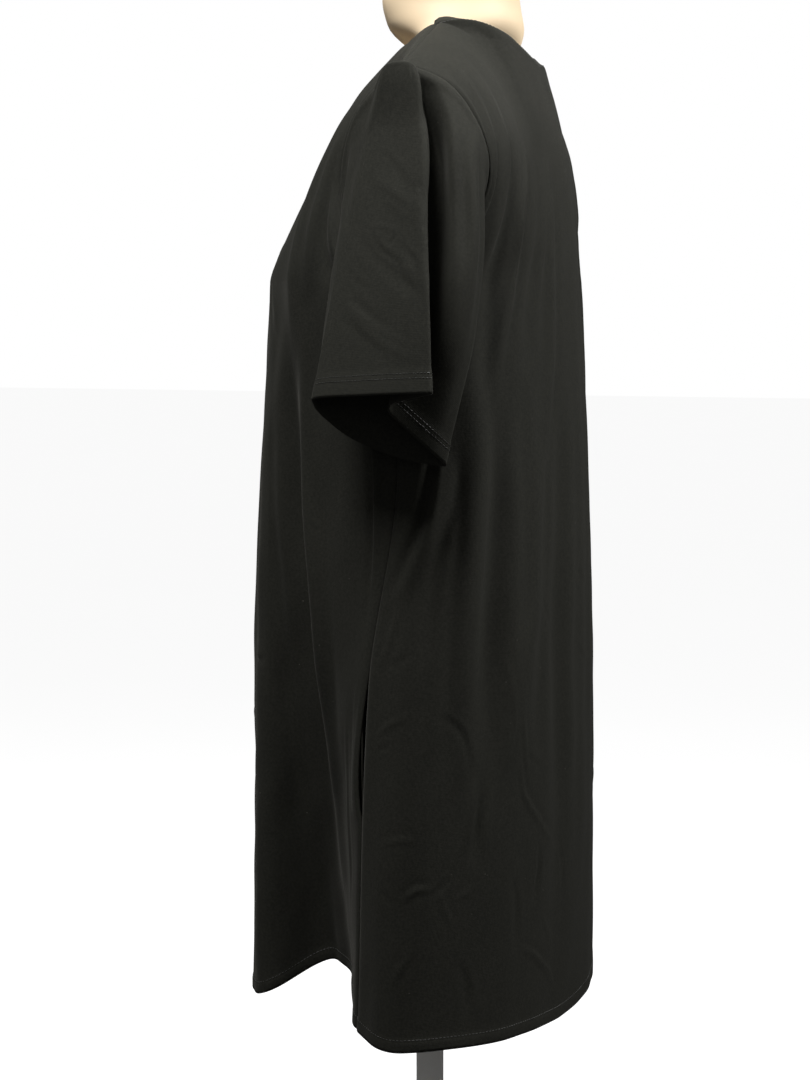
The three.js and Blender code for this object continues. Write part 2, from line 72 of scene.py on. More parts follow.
# ---- Front and back panels ----------------------------------------------------------------------------------
# Two pieces of black cotton and elastane jersey, each cut on the fold and joined at the sides and shoulders by
# overlocked seams. The hem is turned up once and stitched, and the cloth hangs in long soft folds.
LEVELS = {"hem": 0, "hip": 320, "waist": 490, "bust": 660}
FOLD_LINES = [
    # name, soft, lift at the hem, then x and y at hem, hip, waist and bust
    ("centre_front", 0.40, 0, (0, -158), (0, -152), (0, -146), (0, -140)),
    ("front_side", 0.42, 0, (55, -160), (55, -153), (55, -146), (55, -136)),
    ("front_lobe", 0.40, 6, (116, -132), (106, -133), (102, -128), (100, -118)),
    ("valley", 0.36, 38, (66, -76), (96, -102), (112, -108), (128, -98)),
    ("ridge", 0.30, 34, (104, -44), (148, -54), (142, -77), (147, -86)),
    ("pleat", 0.36, 20, (150, -30), (176, -26), (184, -8), (178, -32)),
    ("side_seam", 0.36, 12, (188, -18), (198, -3), (192, 22), (186, 14)),
    ("side_lobe", 0.42, 8, (230, 20), (216, 34), (198, 52), (187, 42)),
    ("side_back", 0.42, 12, (224, 62), (206, 74), (184, 86), (172, 78)),
    ("back_fold", 0.42, 10, (184, 108), (168, 112), (150, 110), (136, 106)),
    ("back_side", 0.42, 6, (130, 131), (120, 131), (98, 129), (88, 121)),
    ("back_middle", 0.42, 0, (66, 145), (58, 143), (50, 139), (45, 130)),
    ("centre_back", 0.40, 0, (0, 152), (0, 150), (0, 148), (0, 138)),
]
SEAM_LINE = 6
BACK_LINE = 12
NECK_LINE = 2
NECK_POINT = np.array((84.0, 29.0, 883.0))
SHOULDER_TIP = np.array((190.0, 27.0, 839.0))
NECK_CENTRE = {"front": np.array((0.0, -80.0, 798.0)), "back": np.array((0.0, 101.0, 855.0))}
NECK_DIP = {"front": 0.55, "back": 0.75}
NECK_SHOULDER = {"front": np.array((1, 0.45, 0.27)), "back": np.array((1, 0.4, 0.24))}
NECK_HUMP = {"front": 0, "back": 34}
NECK_RISE = {"front": 0, "back": 8}
# The back of the neckline sits lower on the wearer's right.
NECK_SAG = {"front": 0, "back": 14}
NECK_FOLD_REACH = 24
NECK_FOLD_SPREAD = 9
ARMHOLE = {
    "front": [(176, -22, 696), (161, -34, 750), (166, -18, 802)],
    "back": [(178, 56, 682), (163, 88, 722), (161, 95, 762), (166, 82, 798), (176, 62, 823)],
}
YOKE_BULGE = {"front": 62, "back": 96}
YOKE_MIDDLE = {"front": 0, "back": 6}
CLOTH_THICKNESS = 1.2
NECK_COLUMNS = 40
SIDE_COLUMNS = 80
SKIRT_ROWS = 230
YOKE_ROWS = 90
HEM_DEPTH = 12
HEM_PROUD = 0.5
SLIT_BOTTOM, SLIT_TOP, SLIT_GAPE = 194, 334, 6

# Creases pressed or pulled into the cloth, each a smooth line through (fold line, height) points, counted from
# centre front (0) to centre back (12), with the wearer's right side beyond centre as a negative number on the
# front and over 12 on the back. Then come its width and its depth, where a raised crease has a negative depth.
FOLD_SPACING = 30
CREASES = {
    "front": [
        # The broad folds of the front that hang from the bust and from the shoulder.
        ([(5, 790), (4.8, 745), (4.55, 695), (4.35, 640)], 8, -3),
        ([(5.4, 785), (5.15, 745), (4.9, 705), (4.75, 650)], 7, 3.2),
        ([(5.7, 770), (5.45, 725), (5.25, 690), (5.15, 640), (5.1, 590)], 7, -3.2),
        ([(4.3, 620), (4.02, 524), (4.06, 448), (4.04, 386), (4, 321), (4, 262), (4.2, 205)], 8.5, -2),
        ([(3.75, 640), (3.6, 500), (3.55, 400), (3.5, 300), (3.55, 200), (3.6, 60)], 16, 11.5),
        ([(5.12, 590), (5.17, 524), (5.25, 457), (5.5, 400), (5.75, 362)], 3.6, 2.3),
        ([(5.3, 560), (5.4, 510), (5.55, 450), (5.8, 395)], 6, -1.8),
        ([(5.82, 345), (5.72, 300), (5.7, 240), (5.8, 196)], 2.8, 0.58),
        ([(3.4, 560), (3.3, 440), (3.2, 300), (3, 150)], 9, 1.6),
        ([(2.2, 600), (2.1, 440), (2, 250), (2.1, 90)], 12, 2),
        ([(1, 560), (1.1, 400), (0.9, 200), (1, 40)], 14, -2.4),
        ([(0.2, 640), (0.1, 480), (0.35, 300), (0.2, 110)], 11, 2),
        ([(5, 290), (4.92, 250), (5, 196), (5.1, 150), (4.9, 100)], 3.5, -1),
        ([(1.6, 700), (1.9, 650), (2.4, 600)], 5, 1.1),
        ([(0.9, 720), (1.2, 668), (1.5, 640)], 4.5, 0.9),
        ([(1.3, 330), (1.7, 316), (2.2, 322)], 3.4, 0.9),
        ([(0.6, 250), (0.9, 262), (1.4, 256)], 3.3, -0.46),
        ([(1.5, 150), (1.7, 118), (1.7, 80)], 3.4, 0.9),
        ([(0.3, 160), (0.6, 130), (0.7, 88)], 3.3, -0.46),
        # The wearer's right side, pulled alike but not the same.
        ([(-4.85, 765), (-4.7, 730), (-4.6, 688), (-4.3, 630)], 7.5, -1.9),
        ([(-5.35, 770), (-5.15, 735), (-4.9, 690), (-4.85, 650)], 6, 1.6),
        ([(-4.25, 650), (-4.05, 540), (-4, 440), (-3.98, 350), (-4.05, 250), (-4.2, 200)], 4.8, -1.4),
        ([(-5.1, 545), (-5.2, 500), (-5.3, 440), (-5.55, 385)], 3.4, 1.2),
        ([(-3.3, 540), (-3.25, 400), (-3.1, 260), (-3.05, 130)], 9, 1.5),
        ([(-2, 590), (-2.2, 430), (-2.05, 230), (-2, 80)], 12, 1.8),
        ([(-0.9, 600), (-1.05, 430), (-1, 220), (-0.8, 60)], 13, -2),
        ([(-1.7, 690), (-2, 640), (-2.3, 600)], 5, 1),
        ([(-0.5, 300), (-0.9, 285), (-1.3, 290)], 3.4, 0.8),
        ([(-1.9, 180), (-1.7, 140), (-1.75, 100)], 3.3, -0.46),
        ([(-5, 230), (-4.9, 190), (-5.05, 130)], 3.6, -0.9),
    ],
    "back": [
        # Folds that fall from the armhole and the shoulder blade, as the photo shows them.
        ([(9.6, 785), (9.25, 745), (9.08, 715), (9.1, 680), (9, 645), (8.8, 607), (8.5, 562)], 6, -3.2),
        ([(8.75, 780), (8.6, 735), (8.65, 676), (8.4, 620), (8.2, 560)], 9, 4.2),
        ([(8, 640), (8.02, 585), (8.1, 528), (8.08, 462), (8.08, 395), (8.17, 313), (8.2, 240)], 13, -3.8),
        ([(11.17, 775), (10.8, 700), (10.5, 620), (10.15, 559), (9.95, 502), (9.8, 440)], 9, -3.2),
        ([(10.4, 765), (10, 700), (9.7, 640), (9.4, 580)], 9, 2.8),
        ([(9.75, 600), (9.72, 524), (9.75, 458), (9.75, 382), (9.5, 304), (9.5, 230)], 16, -4.6),
        ([(8.9, 600), (8.83, 528), (8.83, 444), (8.78, 360), (8.75, 274), (8.8, 200)], 14, 5.6),
        ([(10.8, 580), (10.75, 460), (10.7, 340), (10.8, 200), (10.7, 60)], 17, 5),
        ([(7.55, 520), (7.62, 445), (7.68, 390), (7.75, 330), (7.75, 250)], 6.5, -2),
        ([(7.1, 540), (6.95, 490), (6.78, 450), (6.5, 420), (6.12, 395)], 5.5, 5),
        ([(7.4, 520), (7.2, 468), (6.95, 428), (6.6, 385)], 7.5, -2.8),
        ([(6.5, 343), (6.75, 339), (7.08, 352)], 3.1, 0.46),
        ([(6.2, 330), (6.4, 345), (6.6, 372), (6.7, 395)], 4, -0.8),
        ([(8.95, 352), (9.12, 318), (9.18, 292), (9.1, 262), (9, 235)], 3, -0.75),
        ([(9.33, 330), (9.42, 291), (9.67, 256), (9.75, 225)], 3, -0.52),
        ([(9.95, 405), (10.1, 384), (10.3, 362), (10.55, 345)], 3, 0.58),
        ([(11.2, 412), (11.55, 396), (11.95, 383)], 2.8, 0.58),
        ([(11.2, 350), (11.8, 326), (12.5, 305)], 3, -0.63),
        ([(6.35, 274), (6.83, 291), (7.2, 301)], 3, -0.63),
        ([(6.3, 262), (6.83, 271)], 2.8, 0.4),
        ([(7.7, 300), (7.98, 294), (8.15, 284), (8.28, 262), (8.35, 236)], 3.1, 0.75),
        ([(8.75, 252), (8.7, 218), (8.6, 184), (8.55, 166)], 5.5, 1.9),
        ([(8.45, 250), (8.4, 215), (8.3, 180)], 4.5, -0.9),
        ([(9.3, 272), (9.45, 240), (9.75, 213), (10.05, 190), (10.35, 170), (10.85, 153)], 3.1, -0.86),
        ([(10, 176), (10.04, 158), (10, 138), (9.9, 118)], 3.6, 1.5),
        ([(10.83, 170), (10.9, 140), (10.92, 108)], 3.1, 0.52),
        ([(10.12, 108), (10.3, 88), (10.52, 66)], 2.8, -0.63),
        ([(9.4, 93), (9.9, 76), (10.3, 52), (10.72, 30)], 3.1, -0.92),
        ([(6.7, 186), (7.1, 192), (7.55, 193)], 2.9, -0.63),
        ([(7.42, 216), (7.42, 193)], 2.6, -0.4),
        ([(6.7, 149), (6.9, 141), (7.05, 134)], 2.8, 0.46),
        ([(7.12, 140), (7.5, 150), (7.9, 151)], 2.9, -0.69),
        ([(7.98, 150), (8.06, 134), (8.2, 114)], 2.9, -0.63),
        ([(7.45, 107), (7.2, 80), (6.95, 60)], 3.1, -0.58),
        ([(8.1, 162), (7.98, 152), (7.85, 142)], 2.6, 0.46),
        ([(8.2, 141), (8.45, 147), (8.62, 152)], 2.6, -0.46),
        ([(9.6, 260), (9.85, 248), (10.08, 236)], 2.8, 0.52),
        ([(8.2, 90), (8.5, 60), (8.55, 34)], 4.5, 0.9),
        ([(9.2, 160), (9.35, 120), (9.3, 84)], 5, 0.9),
        # The middle and the wearer's right of the back.
        ([(12, 700), (12.1, 600), (12, 480), (12.1, 330), (12, 150)], 13, 1.7),
        ([(12.8, 760), (13.2, 690), (13.5, 620), (13.8, 560), (14.1, 480)], 7.5, -1.8),
        ([(14.5, 772), (14.8, 735), (14.95, 690), (15, 640), (15.3, 590)], 4.6, -1.6),
        ([(15.2, 765), (15.3, 720), (15.3, 670), (15.6, 610)], 8, 2.3),
        ([(14.2, 600), (14.3, 510), (14.2, 400), (14.4, 290), (14.4, 220)], 11, -2.2),
        ([(15.1, 590), (15.2, 480), (15.15, 380), (15.3, 250)], 10, 2.5),
        ([(16, 640), (15.9, 520), (15.95, 400), (15.8, 260)], 9, -1.7),
        ([(13.2, 560), (13.3, 430), (13.2, 300), (13.3, 90)], 10, 1.9),
        ([(17, 512), (17.1, 475), (17.3, 440), (17.6, 410)], 4.6, 2.4),
        ([(16.7, 495), (16.9, 450), (17.2, 410)], 6.5, -1.6),
        ([(15.9, 300), (15.7, 282), (15.65, 250)], 3.1, 0.69),
        ([(14.7, 345), (14.85, 312), (14.8, 270)], 3.1, -0.69),
        ([(14.6, 262), (14.3, 222), (13.9, 196), (13.3, 170)], 3.2, -0.75),
        ([(13.9, 168), (14, 140), (14.1, 108)], 3.6, 1.3),
        ([(13.6, 96), (13.9, 68), (14.2, 44)], 3, -0.75),
        ([(16.4, 190), (16.9, 196), (17.3, 188)], 3, -0.58),
        ([(16, 150), (16.3, 136), (16.6, 128)], 2.9, 0.52),
        ([(12.4, 250), (12.7, 225), (12.8, 190)], 3.1, -0.58),
        ([(12.2, 130), (12.6, 112), (12.9, 84)], 3.1, 0.52),
    ],
}


def fold_corner(number, level):
    line = FOLD_LINES[abs(number) if number <= BACK_LINE else 2 * BACK_LINE - number]
    side = -1 if number < 0 or number > BACK_LINE else 1
    x, y = line[3 + list(LEVELS).index(level)]
    lift = line[2] if level == "hem" else 0
    return np.array((side * x, y, LEVELS[level] + lift), float), line[1]


def around_ring(corner_at, places):
    """Points of a rounded polygon: each corner is a quadratic curve over a third of a fold to each side."""
    points = np.empty((len(places), 3))
    for row, place in enumerate(places):
        number = int(round(place))
        offset = place - number
        corner, soft = corner_at(number)
        step = 1 if offset >= 0 else -1
        after, after_soft = corner_at(number + step)
        before, _ = corner_at(number - step)
        leave = corner + (after - corner) * soft
        if abs(offset) <= 1 / 3:
            t = abs(offset) * 1.5 + 0.5
            entry = corner + (before - corner) * soft
            points[row] = entry * (1 - t) ** 2 + corner * 2 * t * (1 - t) + leave * t * t
        else:
            arrive = after + (corner - after) * after_soft
            points[row] = leave + (arrive - leave) * (abs(offset) - 1 / 3) * 3
    return points


def even_places(corner_at, start, end, count):
    """Places from start to end whose points lie evenly along the ring."""
    fine = np.linspace(start, end, 40 * int(abs(end - start)) + 1)
    steps = np.linalg.norm(np.diff(around_ring(corner_at, fine), axis=0), axis=1)
    gone = np.concatenate(([0], np.cumsum(steps)))
    return np.interp(np.linspace(0, gone[-1], count + 1), gone, fine)


def smooth_through(places, stations, values):
    """Hermite curves through stations of points, shape (station, point, 3), at each value."""
    places = np.asarray(places, float)
    last = len(places) - 1
    slopes = [
        (stations[min(last, i + 1)] - stations[max(0, i - 1)])
        / (places[min(last, i + 1)] - places[max(0, i - 1)])
        for i in range(last + 1)
    ]
    rows = []
    for value in values:
        k = min(last - 1, max(0, int(np.searchsorted(places, value, side="left")) - 1))
        span = places[k + 1] - places[k]
        t = (value - places[k]) / span
        rows.append(
            stations[k] * (1 + 2 * t) * (1 - t) ** 2
            + stations[k + 1] * t * t * (3 - 2 * t)
            + slopes[k] * span * t * (1 - t) ** 2
            - slopes[k + 1] * span * t * t * (1 - t)
        )
    return np.array(rows)


def skirt_points(places, heights):
    rings = [around_ring(lambda n, level=level: fold_corner(n, level), places) for level in LEVELS]
    return smooth_through(list(LEVELS.values()), rings, heights)


def centripetal_curve(points, samples=160):
    """A centripetal Catmull-Rom curve, sampled, with the share of its length at each sample."""
    points = [np.array(p, float) for p in points]
    points = [2 * points[0] - points[1], *points, 2 * points[-1] - points[-2]]
    curve = []
    for p0, p1, p2, p3 in zip(points, points[1:], points[2:], points[3:]):
        gaps = [np.linalg.norm(b - a) ** 0.5 for a, b in ((p0, p1), (p1, p2), (p2, p3))]
        slope1 = (p1 - p0) / gaps[0] - (p2 - p0) / (gaps[0] + gaps[1]) + (p2 - p1) / gaps[1]
        slope2 = (p2 - p1) / gaps[1] - (p3 - p1) / (gaps[1] + gaps[2]) + (p3 - p2) / gaps[2]
        slope1 = slope1 * gaps[1]
        slope2 = slope2 * gaps[1]
        for t in np.linspace(0, 1, samples, endpoint=False):
            curve.append(
                p1 * (2 * t**3 - 3 * t**2 + 1)
                + p2 * (3 * t**2 - 2 * t**3)
                + slope1 * (t**3 - 2 * t**2 + t)
                + slope2 * (t**3 - t**2)
            )
    curve = np.array([*curve, points[-2]])
    lengths = np.concatenate(([0], np.cumsum(np.linalg.norm(np.diff(curve, axis=0), axis=1))))
    return curve, lengths / lengths[-1]


def along_curve(curve, share):
    samples, shares = curve
    return np.stack([np.interp(share, shares, samples[:, axis]) for axis in range(3)], axis=-1)


underarm = skirt_points([SEAM_LINE], [LEVELS["bust"]])[0, 0]
armhole_curves = {
    side: centripetal_curve([underarm, *points, SHOULDER_TIP]) for side, points in ARMHOLE.items()
}


def top_edge(side, place):
    """The neckline from the centre to the neck point, then the shoulder seam out to its tip."""
    if place >= NECK_LINE:
        share = (place - NECK_LINE) / (SEAM_LINE - NECK_LINE)
        return NECK_POINT + (SHOULDER_TIP - NECK_POINT) * share
    centre = NECK_CENTRE[side]
    dip = NECK_DIP[side]
    first = np.array((NECK_POINT[0] * dip, centre[1], centre[2] + NECK_RISE[side]))
    second = centre + (NECK_POINT - centre) * NECK_SHOULDER[side] + (0, 0, NECK_HUMP[side])
    t = place / NECK_LINE
    return (
        centre * (1 - t) ** 3
        + first * 3 * t * (1 - t) ** 2
        + second * 3 * t * t * (1 - t)
        + NECK_POINT * t**3
    )


def yoke_rows(side, places, rises):
    """Rows of a yoke's left half, for places counted from its centre line."""
    ring_places = places if side == "front" else BACK_LINE - places
    base, below = skirt_points(ring_places, [LEVELS["bust"], LEVELS["bust"] - 10])
    top = np.array([top_edge(side, place) for place in places])
    across = places / SEAM_LINE
    over_neck = np.minimum(1, places / NECK_LINE)
    over_shoulder = np.maximum(0, (places - NECK_LINE) / (SEAM_LINE - NECK_LINE))
    outwards = -1 if side == "front" else 1

    def rough(rise):
        point = base + (top - base) * rise
        straight = underarm + (SHOULDER_TIP - underarm) * rise
        point += (along_curve(armhole_curves[side], rise) - straight) * across[:, None] ** 3
        stand_out = YOKE_BULGE[side] * over_neck**2 * (1 - over_shoulder**2.5)
        rounding = YOKE_MIDDLE[side] * (1 - over_neck) * math.sin(math.pi * rise)
        point[:, 1] += outwards * (stand_out * rise * math.sqrt(max(0, 1 - rise)) + rounding)
        return point

    skirt_slope = (base - below) / 10
    yoke_slope = rough(0.02) - base
    turn = (skirt_slope * yoke_slope[:, 2:] - yoke_slope) / 0.02
    easing = 1 - across[:, None] ** 3
    return np.array([rough(rise) + turn * easing * rise * (1 - rise) ** 8 for rise in rises])


yoke_rises = np.sin(np.pi / 2 * np.arange(YOKE_ROWS + 1) / YOKE_ROWS)
skirt_heights = LEVELS["bust"] * np.arange(SKIRT_ROWS) / SKIRT_ROWS


def round_neck_fold(yoke, places):
    """Rounds the turn that runs down the cloth from the neck point, all but at the top edge."""
    steps = np.arange(-NECK_FOLD_REACH, NECK_FOLD_REACH + 1)
    kernel = np.exp(-0.5 * (steps / NECK_FOLD_SPREAD) ** 2)
    kernel /= kernel.sum()
    padded = np.pad(yoke, ((0, 0), (NECK_FOLD_REACH, NECK_FOLD_REACH), (0, 0)), mode="edge")
    smooth = sum(weight * padded[:, k : k + len(places)] for k, weight in enumerate(kernel))
    nearness = np.exp(-(((places - NECK_LINE) / 0.9) ** 2))[None, :, None]
    rise = yoke_rises[:, None, None]
    fade = np.minimum(1, rise / 0.15) * np.minimum(1, (1 - rise) / 0.06)
    return yoke + (smooth - yoke) * nearness * fade


def panel_rows(side):
    """The middle of one panel's cloth from seam to seam, as rows of points from the hem up."""
    def corner(number):
        return fold_corner(number if side == "front" else BACK_LINE - number, "hip")

    near_neck = even_places(corner, 0, NECK_LINE, NECK_COLUMNS)
    places = np.concatenate((near_neck, even_places(corner, NECK_LINE, SEAM_LINE, SIDE_COLUMNS)[1:]))
    skirt = skirt_points(places if side == "front" else BACK_LINE - places, skirt_heights)
    if side == "front":
        share = np.interp(places, (5.33, 5.67, 6), (0, 0.6, 1))
        height = np.clip((skirt_heights - SLIT_BOTTOM) / (SLIT_TOP - SLIT_BOTTOM), 0, 1)
        opening = SLIT_GAPE * np.sin(np.pi * height**0.7)[:, None] * share
        skirt[:, :, 1] -= opening
        skirt[:, :, 0] -= opening * 0.4
    half = np.concatenate((skirt, round_neck_fold(yoke_rows(side, places, yoke_rises), places)))
    other = half[:, 1:][:, ::-1] * (-1, 1, 1)
    sag = np.sin(np.pi * np.minimum(1, places[1:][::-1] / NECK_LINE)) ** 2 * NECK_SAG[side]
    other[SKIRT_ROWS:, :, 2] -= yoke_rises[:, None] ** 4 * sag
    if side == "front":
        return np.concatenate((other, half), axis=1), np.concatenate((-places[1:][::-1], places))
    half = half[:, ::-1]
    other = other[:, ::-1]
    left_places = BACK_LINE - places[::-1]
    both_places = np.concatenate((left_places, BACK_LINE + places[1:]))
    return np.concatenate((half, other), axis=1), both_places


def cloth_normals(rows, closed=False):
    if closed:
        right = np.roll(rows, -1, axis=1) - np.roll(rows, 1, axis=1)
    else:
        right = np.gradient(rows, axis=1)
    up = np.gradient(rows, axis=0)
    normals = np.cross(right, up)
    return normals / np.maximum(np.linalg.norm(normals, axis=-1, keepdims=True), 1e-9)


def cloth_lengths(rows):
    """Distance along the cloth from the first column and from the first row, at each point."""
    across = np.linalg.norm(np.diff(rows, axis=1), axis=-1)
    up = np.linalg.norm(np.diff(rows, axis=0), axis=-1)
    across = np.concatenate((np.zeros((rows.shape[0], 1)), np.cumsum(across, axis=1)), axis=1)
    up = np.concatenate((np.zeros((1, rows.shape[1])), np.cumsum(up, axis=0)), axis=0)
    return across, up


def crease_line(rows, places, heights, points):
    """A smooth line on the cloth through (place, height) points."""
    curve, _ = centripetal_curve([(place * FOLD_SPACING, height, 0) for place, height in points], samples=6)
    line = []
    for along, height, _ in curve:
        right = int(np.clip(np.searchsorted(places, along / FOLD_SPACING), 1, len(places) - 1))
        sideways = np.clip((along / FOLD_SPACING - places[right - 1]) / (places[right] - places[right - 1]), 0, 1)
        ends = []
        for column in (right - 1, right):
            row = int(np.clip(np.searchsorted(heights[:, column], height), 1, len(rows) - 1))
            low, high = heights[row - 1, column], heights[row, column]
            share = np.clip((height - low) / max(high - low, 1e-6), 0, 1)
            ends.append(rows[row - 1, column] * (1 - share) + rows[row, column] * share)
        line.append(ends[0] * (1 - sideways) + ends[1] * sideways)
    return np.array(line)


def crease_relief(points, normals, line, width, depth):
    """How far a crease moves the cloth: a trough with a lip on each side, one of them higher, and faded ends."""
    best = np.full(len(points), 1e9)
    beside = np.zeros(len(points))
    place = np.zeros(len(points))
    lengths = np.linalg.norm(np.diff(line, axis=0), axis=1)
    gone = 0.0
    for a, b, length in zip(line, line[1:], lengths):
        if length < 1e-6:
            continue
        run = (b - a) / length
        t = np.clip((points - a) @ run, 0, length)
        offset = points - a - t[:, None] * run
        distance = np.linalg.norm(offset, axis=-1)
        closer = distance < best
        side = np.sign(np.einsum("ij,ij->i", np.cross(normals, run), offset))
        best = np.where(closer, distance, best)
        beside = np.where(closer, side, beside)
        place = np.where(closer, gone + t, place)
        gone += length
    share = np.clip(place / gone, 0, 1)
    swell = np.sin(np.pi * share) ** 1.1 * (1 + 0.25 * np.sin(5.1 * share + gone * 0.7))
    narrow = width * (0.75 + 0.35 * share)
    away = best / narrow
    trough = np.exp(-(away**2))
    lips = np.exp(-((away - 1.7) ** 2) * 1.5) * np.where(beside > 0, 0.5, 0.25)
    return depth * swell * (lips - trough)


def press_creases(rows, normals, places, heights, creases):
    """How far every crease of a list moves the cloth along its normals, at each point."""
    moved = np.zeros(rows.shape[:2])
    for points, width, depth in creases:
        line = crease_line(rows, places, heights, points)
        reach = 4 * width
        near = ((rows > line.min(axis=0) - reach) & (rows < line.max(axis=0) + reach)).all(axis=-1)
        moved[near] += crease_relief(rows[near], normals[near], line, width, depth)
    return moved


def soft_waves(across, up, amount, seed):
    """The slight unevenness of hanging jersey: faint irregular waves, mostly upright, of a few tenths of a mm."""
    random = np.random.default_rng(seed)
    relief = np.zeros(across.shape)
    for _ in range(22):
        sideways = 2 * math.pi / random.uniform(38, 150)
        upward = 2 * math.pi / random.uniform(90, 420) * random.choice((-1, 1))
        bend = 1.4 * np.sin(up / random.uniform(60, 150) + random.uniform(0, 6))
        phase = across * sideways + up * upward + bend
        relief += np.sin(phase + random.uniform(0, 6)) * random.uniform(0.3, 1)
    return relief * amount / 4


def cloth_mesh(name, rows, normals, closed=False, thickness=CLOTH_THICKNESS, lift=HEM_HEIGHT):
    """A wall of cloth on a grid, closed along every edge, with a UV map in metres along the cloth.

    The inner face has every second row and column of the outer one, and it joins the outer face at the edges.
    """
    height, width = rows.shape[:2]
    across, up = cloth_lengths(rows)
    thick = np.broadcast_to(np.asarray(thickness, float), rows.shape[:2])[..., None]
    outer = rows + normals * thick / 2
    inner = (rows - normals * thick / 2)[::2, ::2]
    high, wide = inner.shape[:2]
    points = np.concatenate((outer.reshape(-1, 3), inner.reshape(-1, 3))) + (0, 0, lift)
    outer_index = np.arange(height * width).reshape(height, width)
    inner_index = height * width + np.arange(high * wide).reshape(high, wide)
    if closed:
        outer_index = np.concatenate((outer_index, outer_index[:, :1]), axis=1)
        inner_index = np.concatenate((inner_index, inner_index[:, :1]), axis=1)

    def quads(index, reverse=False):
        corners = [index[:-1, :-1], index[:-1, 1:], index[1:, 1:], index[1:, :-1]]
        if reverse:
            corners.reverse()
        return np.stack([corner.ravel() for corner in corners], 1).tolist()

    def join(outside, inside):
        """Faces between an edge of the outer face and the half as many points of the inner one."""
        return [
            (outside[2 * k], inside[k], inside[k + 1], outside[2 * k + 2], outside[2 * k + 1])
            for k in range(len(inside) - 1)
        ]

    faces = quads(outer_index) + quads(inner_index, reverse=True)
    faces += join(outer_index[0].tolist(), inner_index[0].tolist())
    faces += join(outer_index[-1].tolist()[::-1], inner_index[-1].tolist()[::-1])
    if not closed:
        faces += join(outer_index[:, 0].tolist()[::-1], inner_index[:, 0].tolist()[::-1])
        faces += join(outer_index[:, -1].tolist(), inner_index[:, -1].tolist())
    mesh = bpy.data.meshes.new(name)
    mesh.from_pydata((points * MM).tolist(), [], faces)
    layer = mesh.uv_layers.new(name="cloth")
    halves = ((across, up), (across[::2, ::2], up[::2, ::2]))
    uv = np.concatenate([np.stack((part.ravel(), rise.ravel()), 1) for part, rise in halves]) * MM
    corners = np.empty(len(mesh.loops), int)
    mesh.loops.foreach_get("vertex_index", corners)
    layer.data.foreach_set("uv", uv[corners].astype(np.float32).ravel())
    mesh.polygons.foreach_set("use_smooth", np.ones(len(mesh.polygons), bool))
    mesh.update()
    piece = bpy.data.objects.new(name, mesh)
    bpy.context.scene.collection.objects.link(piece)
    return piece


class Wire:
    """A shader socket that takes part in Python sums, so that shader maths reads as an expression."""

    def __init__(self, tree, socket):
        self.tree = tree
        self.socket = socket

    def math(self, operation, *values):
        return node(self.tree, "ShaderNodeMath", {"operation": operation}, *values)

    def __add__(self, other):
        return self.math("ADD", self, other)

    def __sub__(self, other):
        return self.math("SUBTRACT", self, other)

    def __rsub__(self, other):
        return self.math("SUBTRACT", other, self)

    def __mul__(self, other):
        return self.math("MULTIPLY", self, other)

    __radd__ = __add__
    __rmul__ = __mul__

    def sine(self):
        return self.math("SINE", self)

    def between(self, low, high):
        return node(self.tree, "ShaderNodeMapRange", {"interpolation_type": "SMOOTHSTEP"}, self, low, high)


def node(tree, kind, settings, *values, output=0, named=None):
    """Adds a node: its settings first, then values or links for its sockets in order, or by name."""
    made = tree.nodes.new(kind)
    for key, value in settings.items():
        setattr(made, key, value)
    inputs = list(enumerate(values)) + list((named or {}).items())
    for key, value in inputs:
        if isinstance(value, Wire):
            tree.links.new(value.socket, made.inputs[key])
        elif value is not None:
            made.inputs[key].default_value = value
    return Wire(tree, made.outputs[output])


def new_material(name, **constants):
    material = bpy.data.materials.new(name)
    material.use_nodes = True
    tree = material.node_tree
    shader = tree.nodes["Principled BSDF"]
    for key, value in constants.items():
        shader.inputs[key.replace("_", " ").title()].default_value = value
    return material, tree, shader


def mix_colours(tree, factor, first, second):
    mixed = tree.nodes.new("ShaderNodeMix")
    mixed.data_type = "RGBA"
    for key, value in ((0, factor), (6, first), (7, second)):
        if isinstance(value, Wire):
            tree.links.new(value.socket, mixed.inputs[key])
        else:
            mixed.inputs[key].default_value = value
    return Wire(tree, mixed.outputs[2])


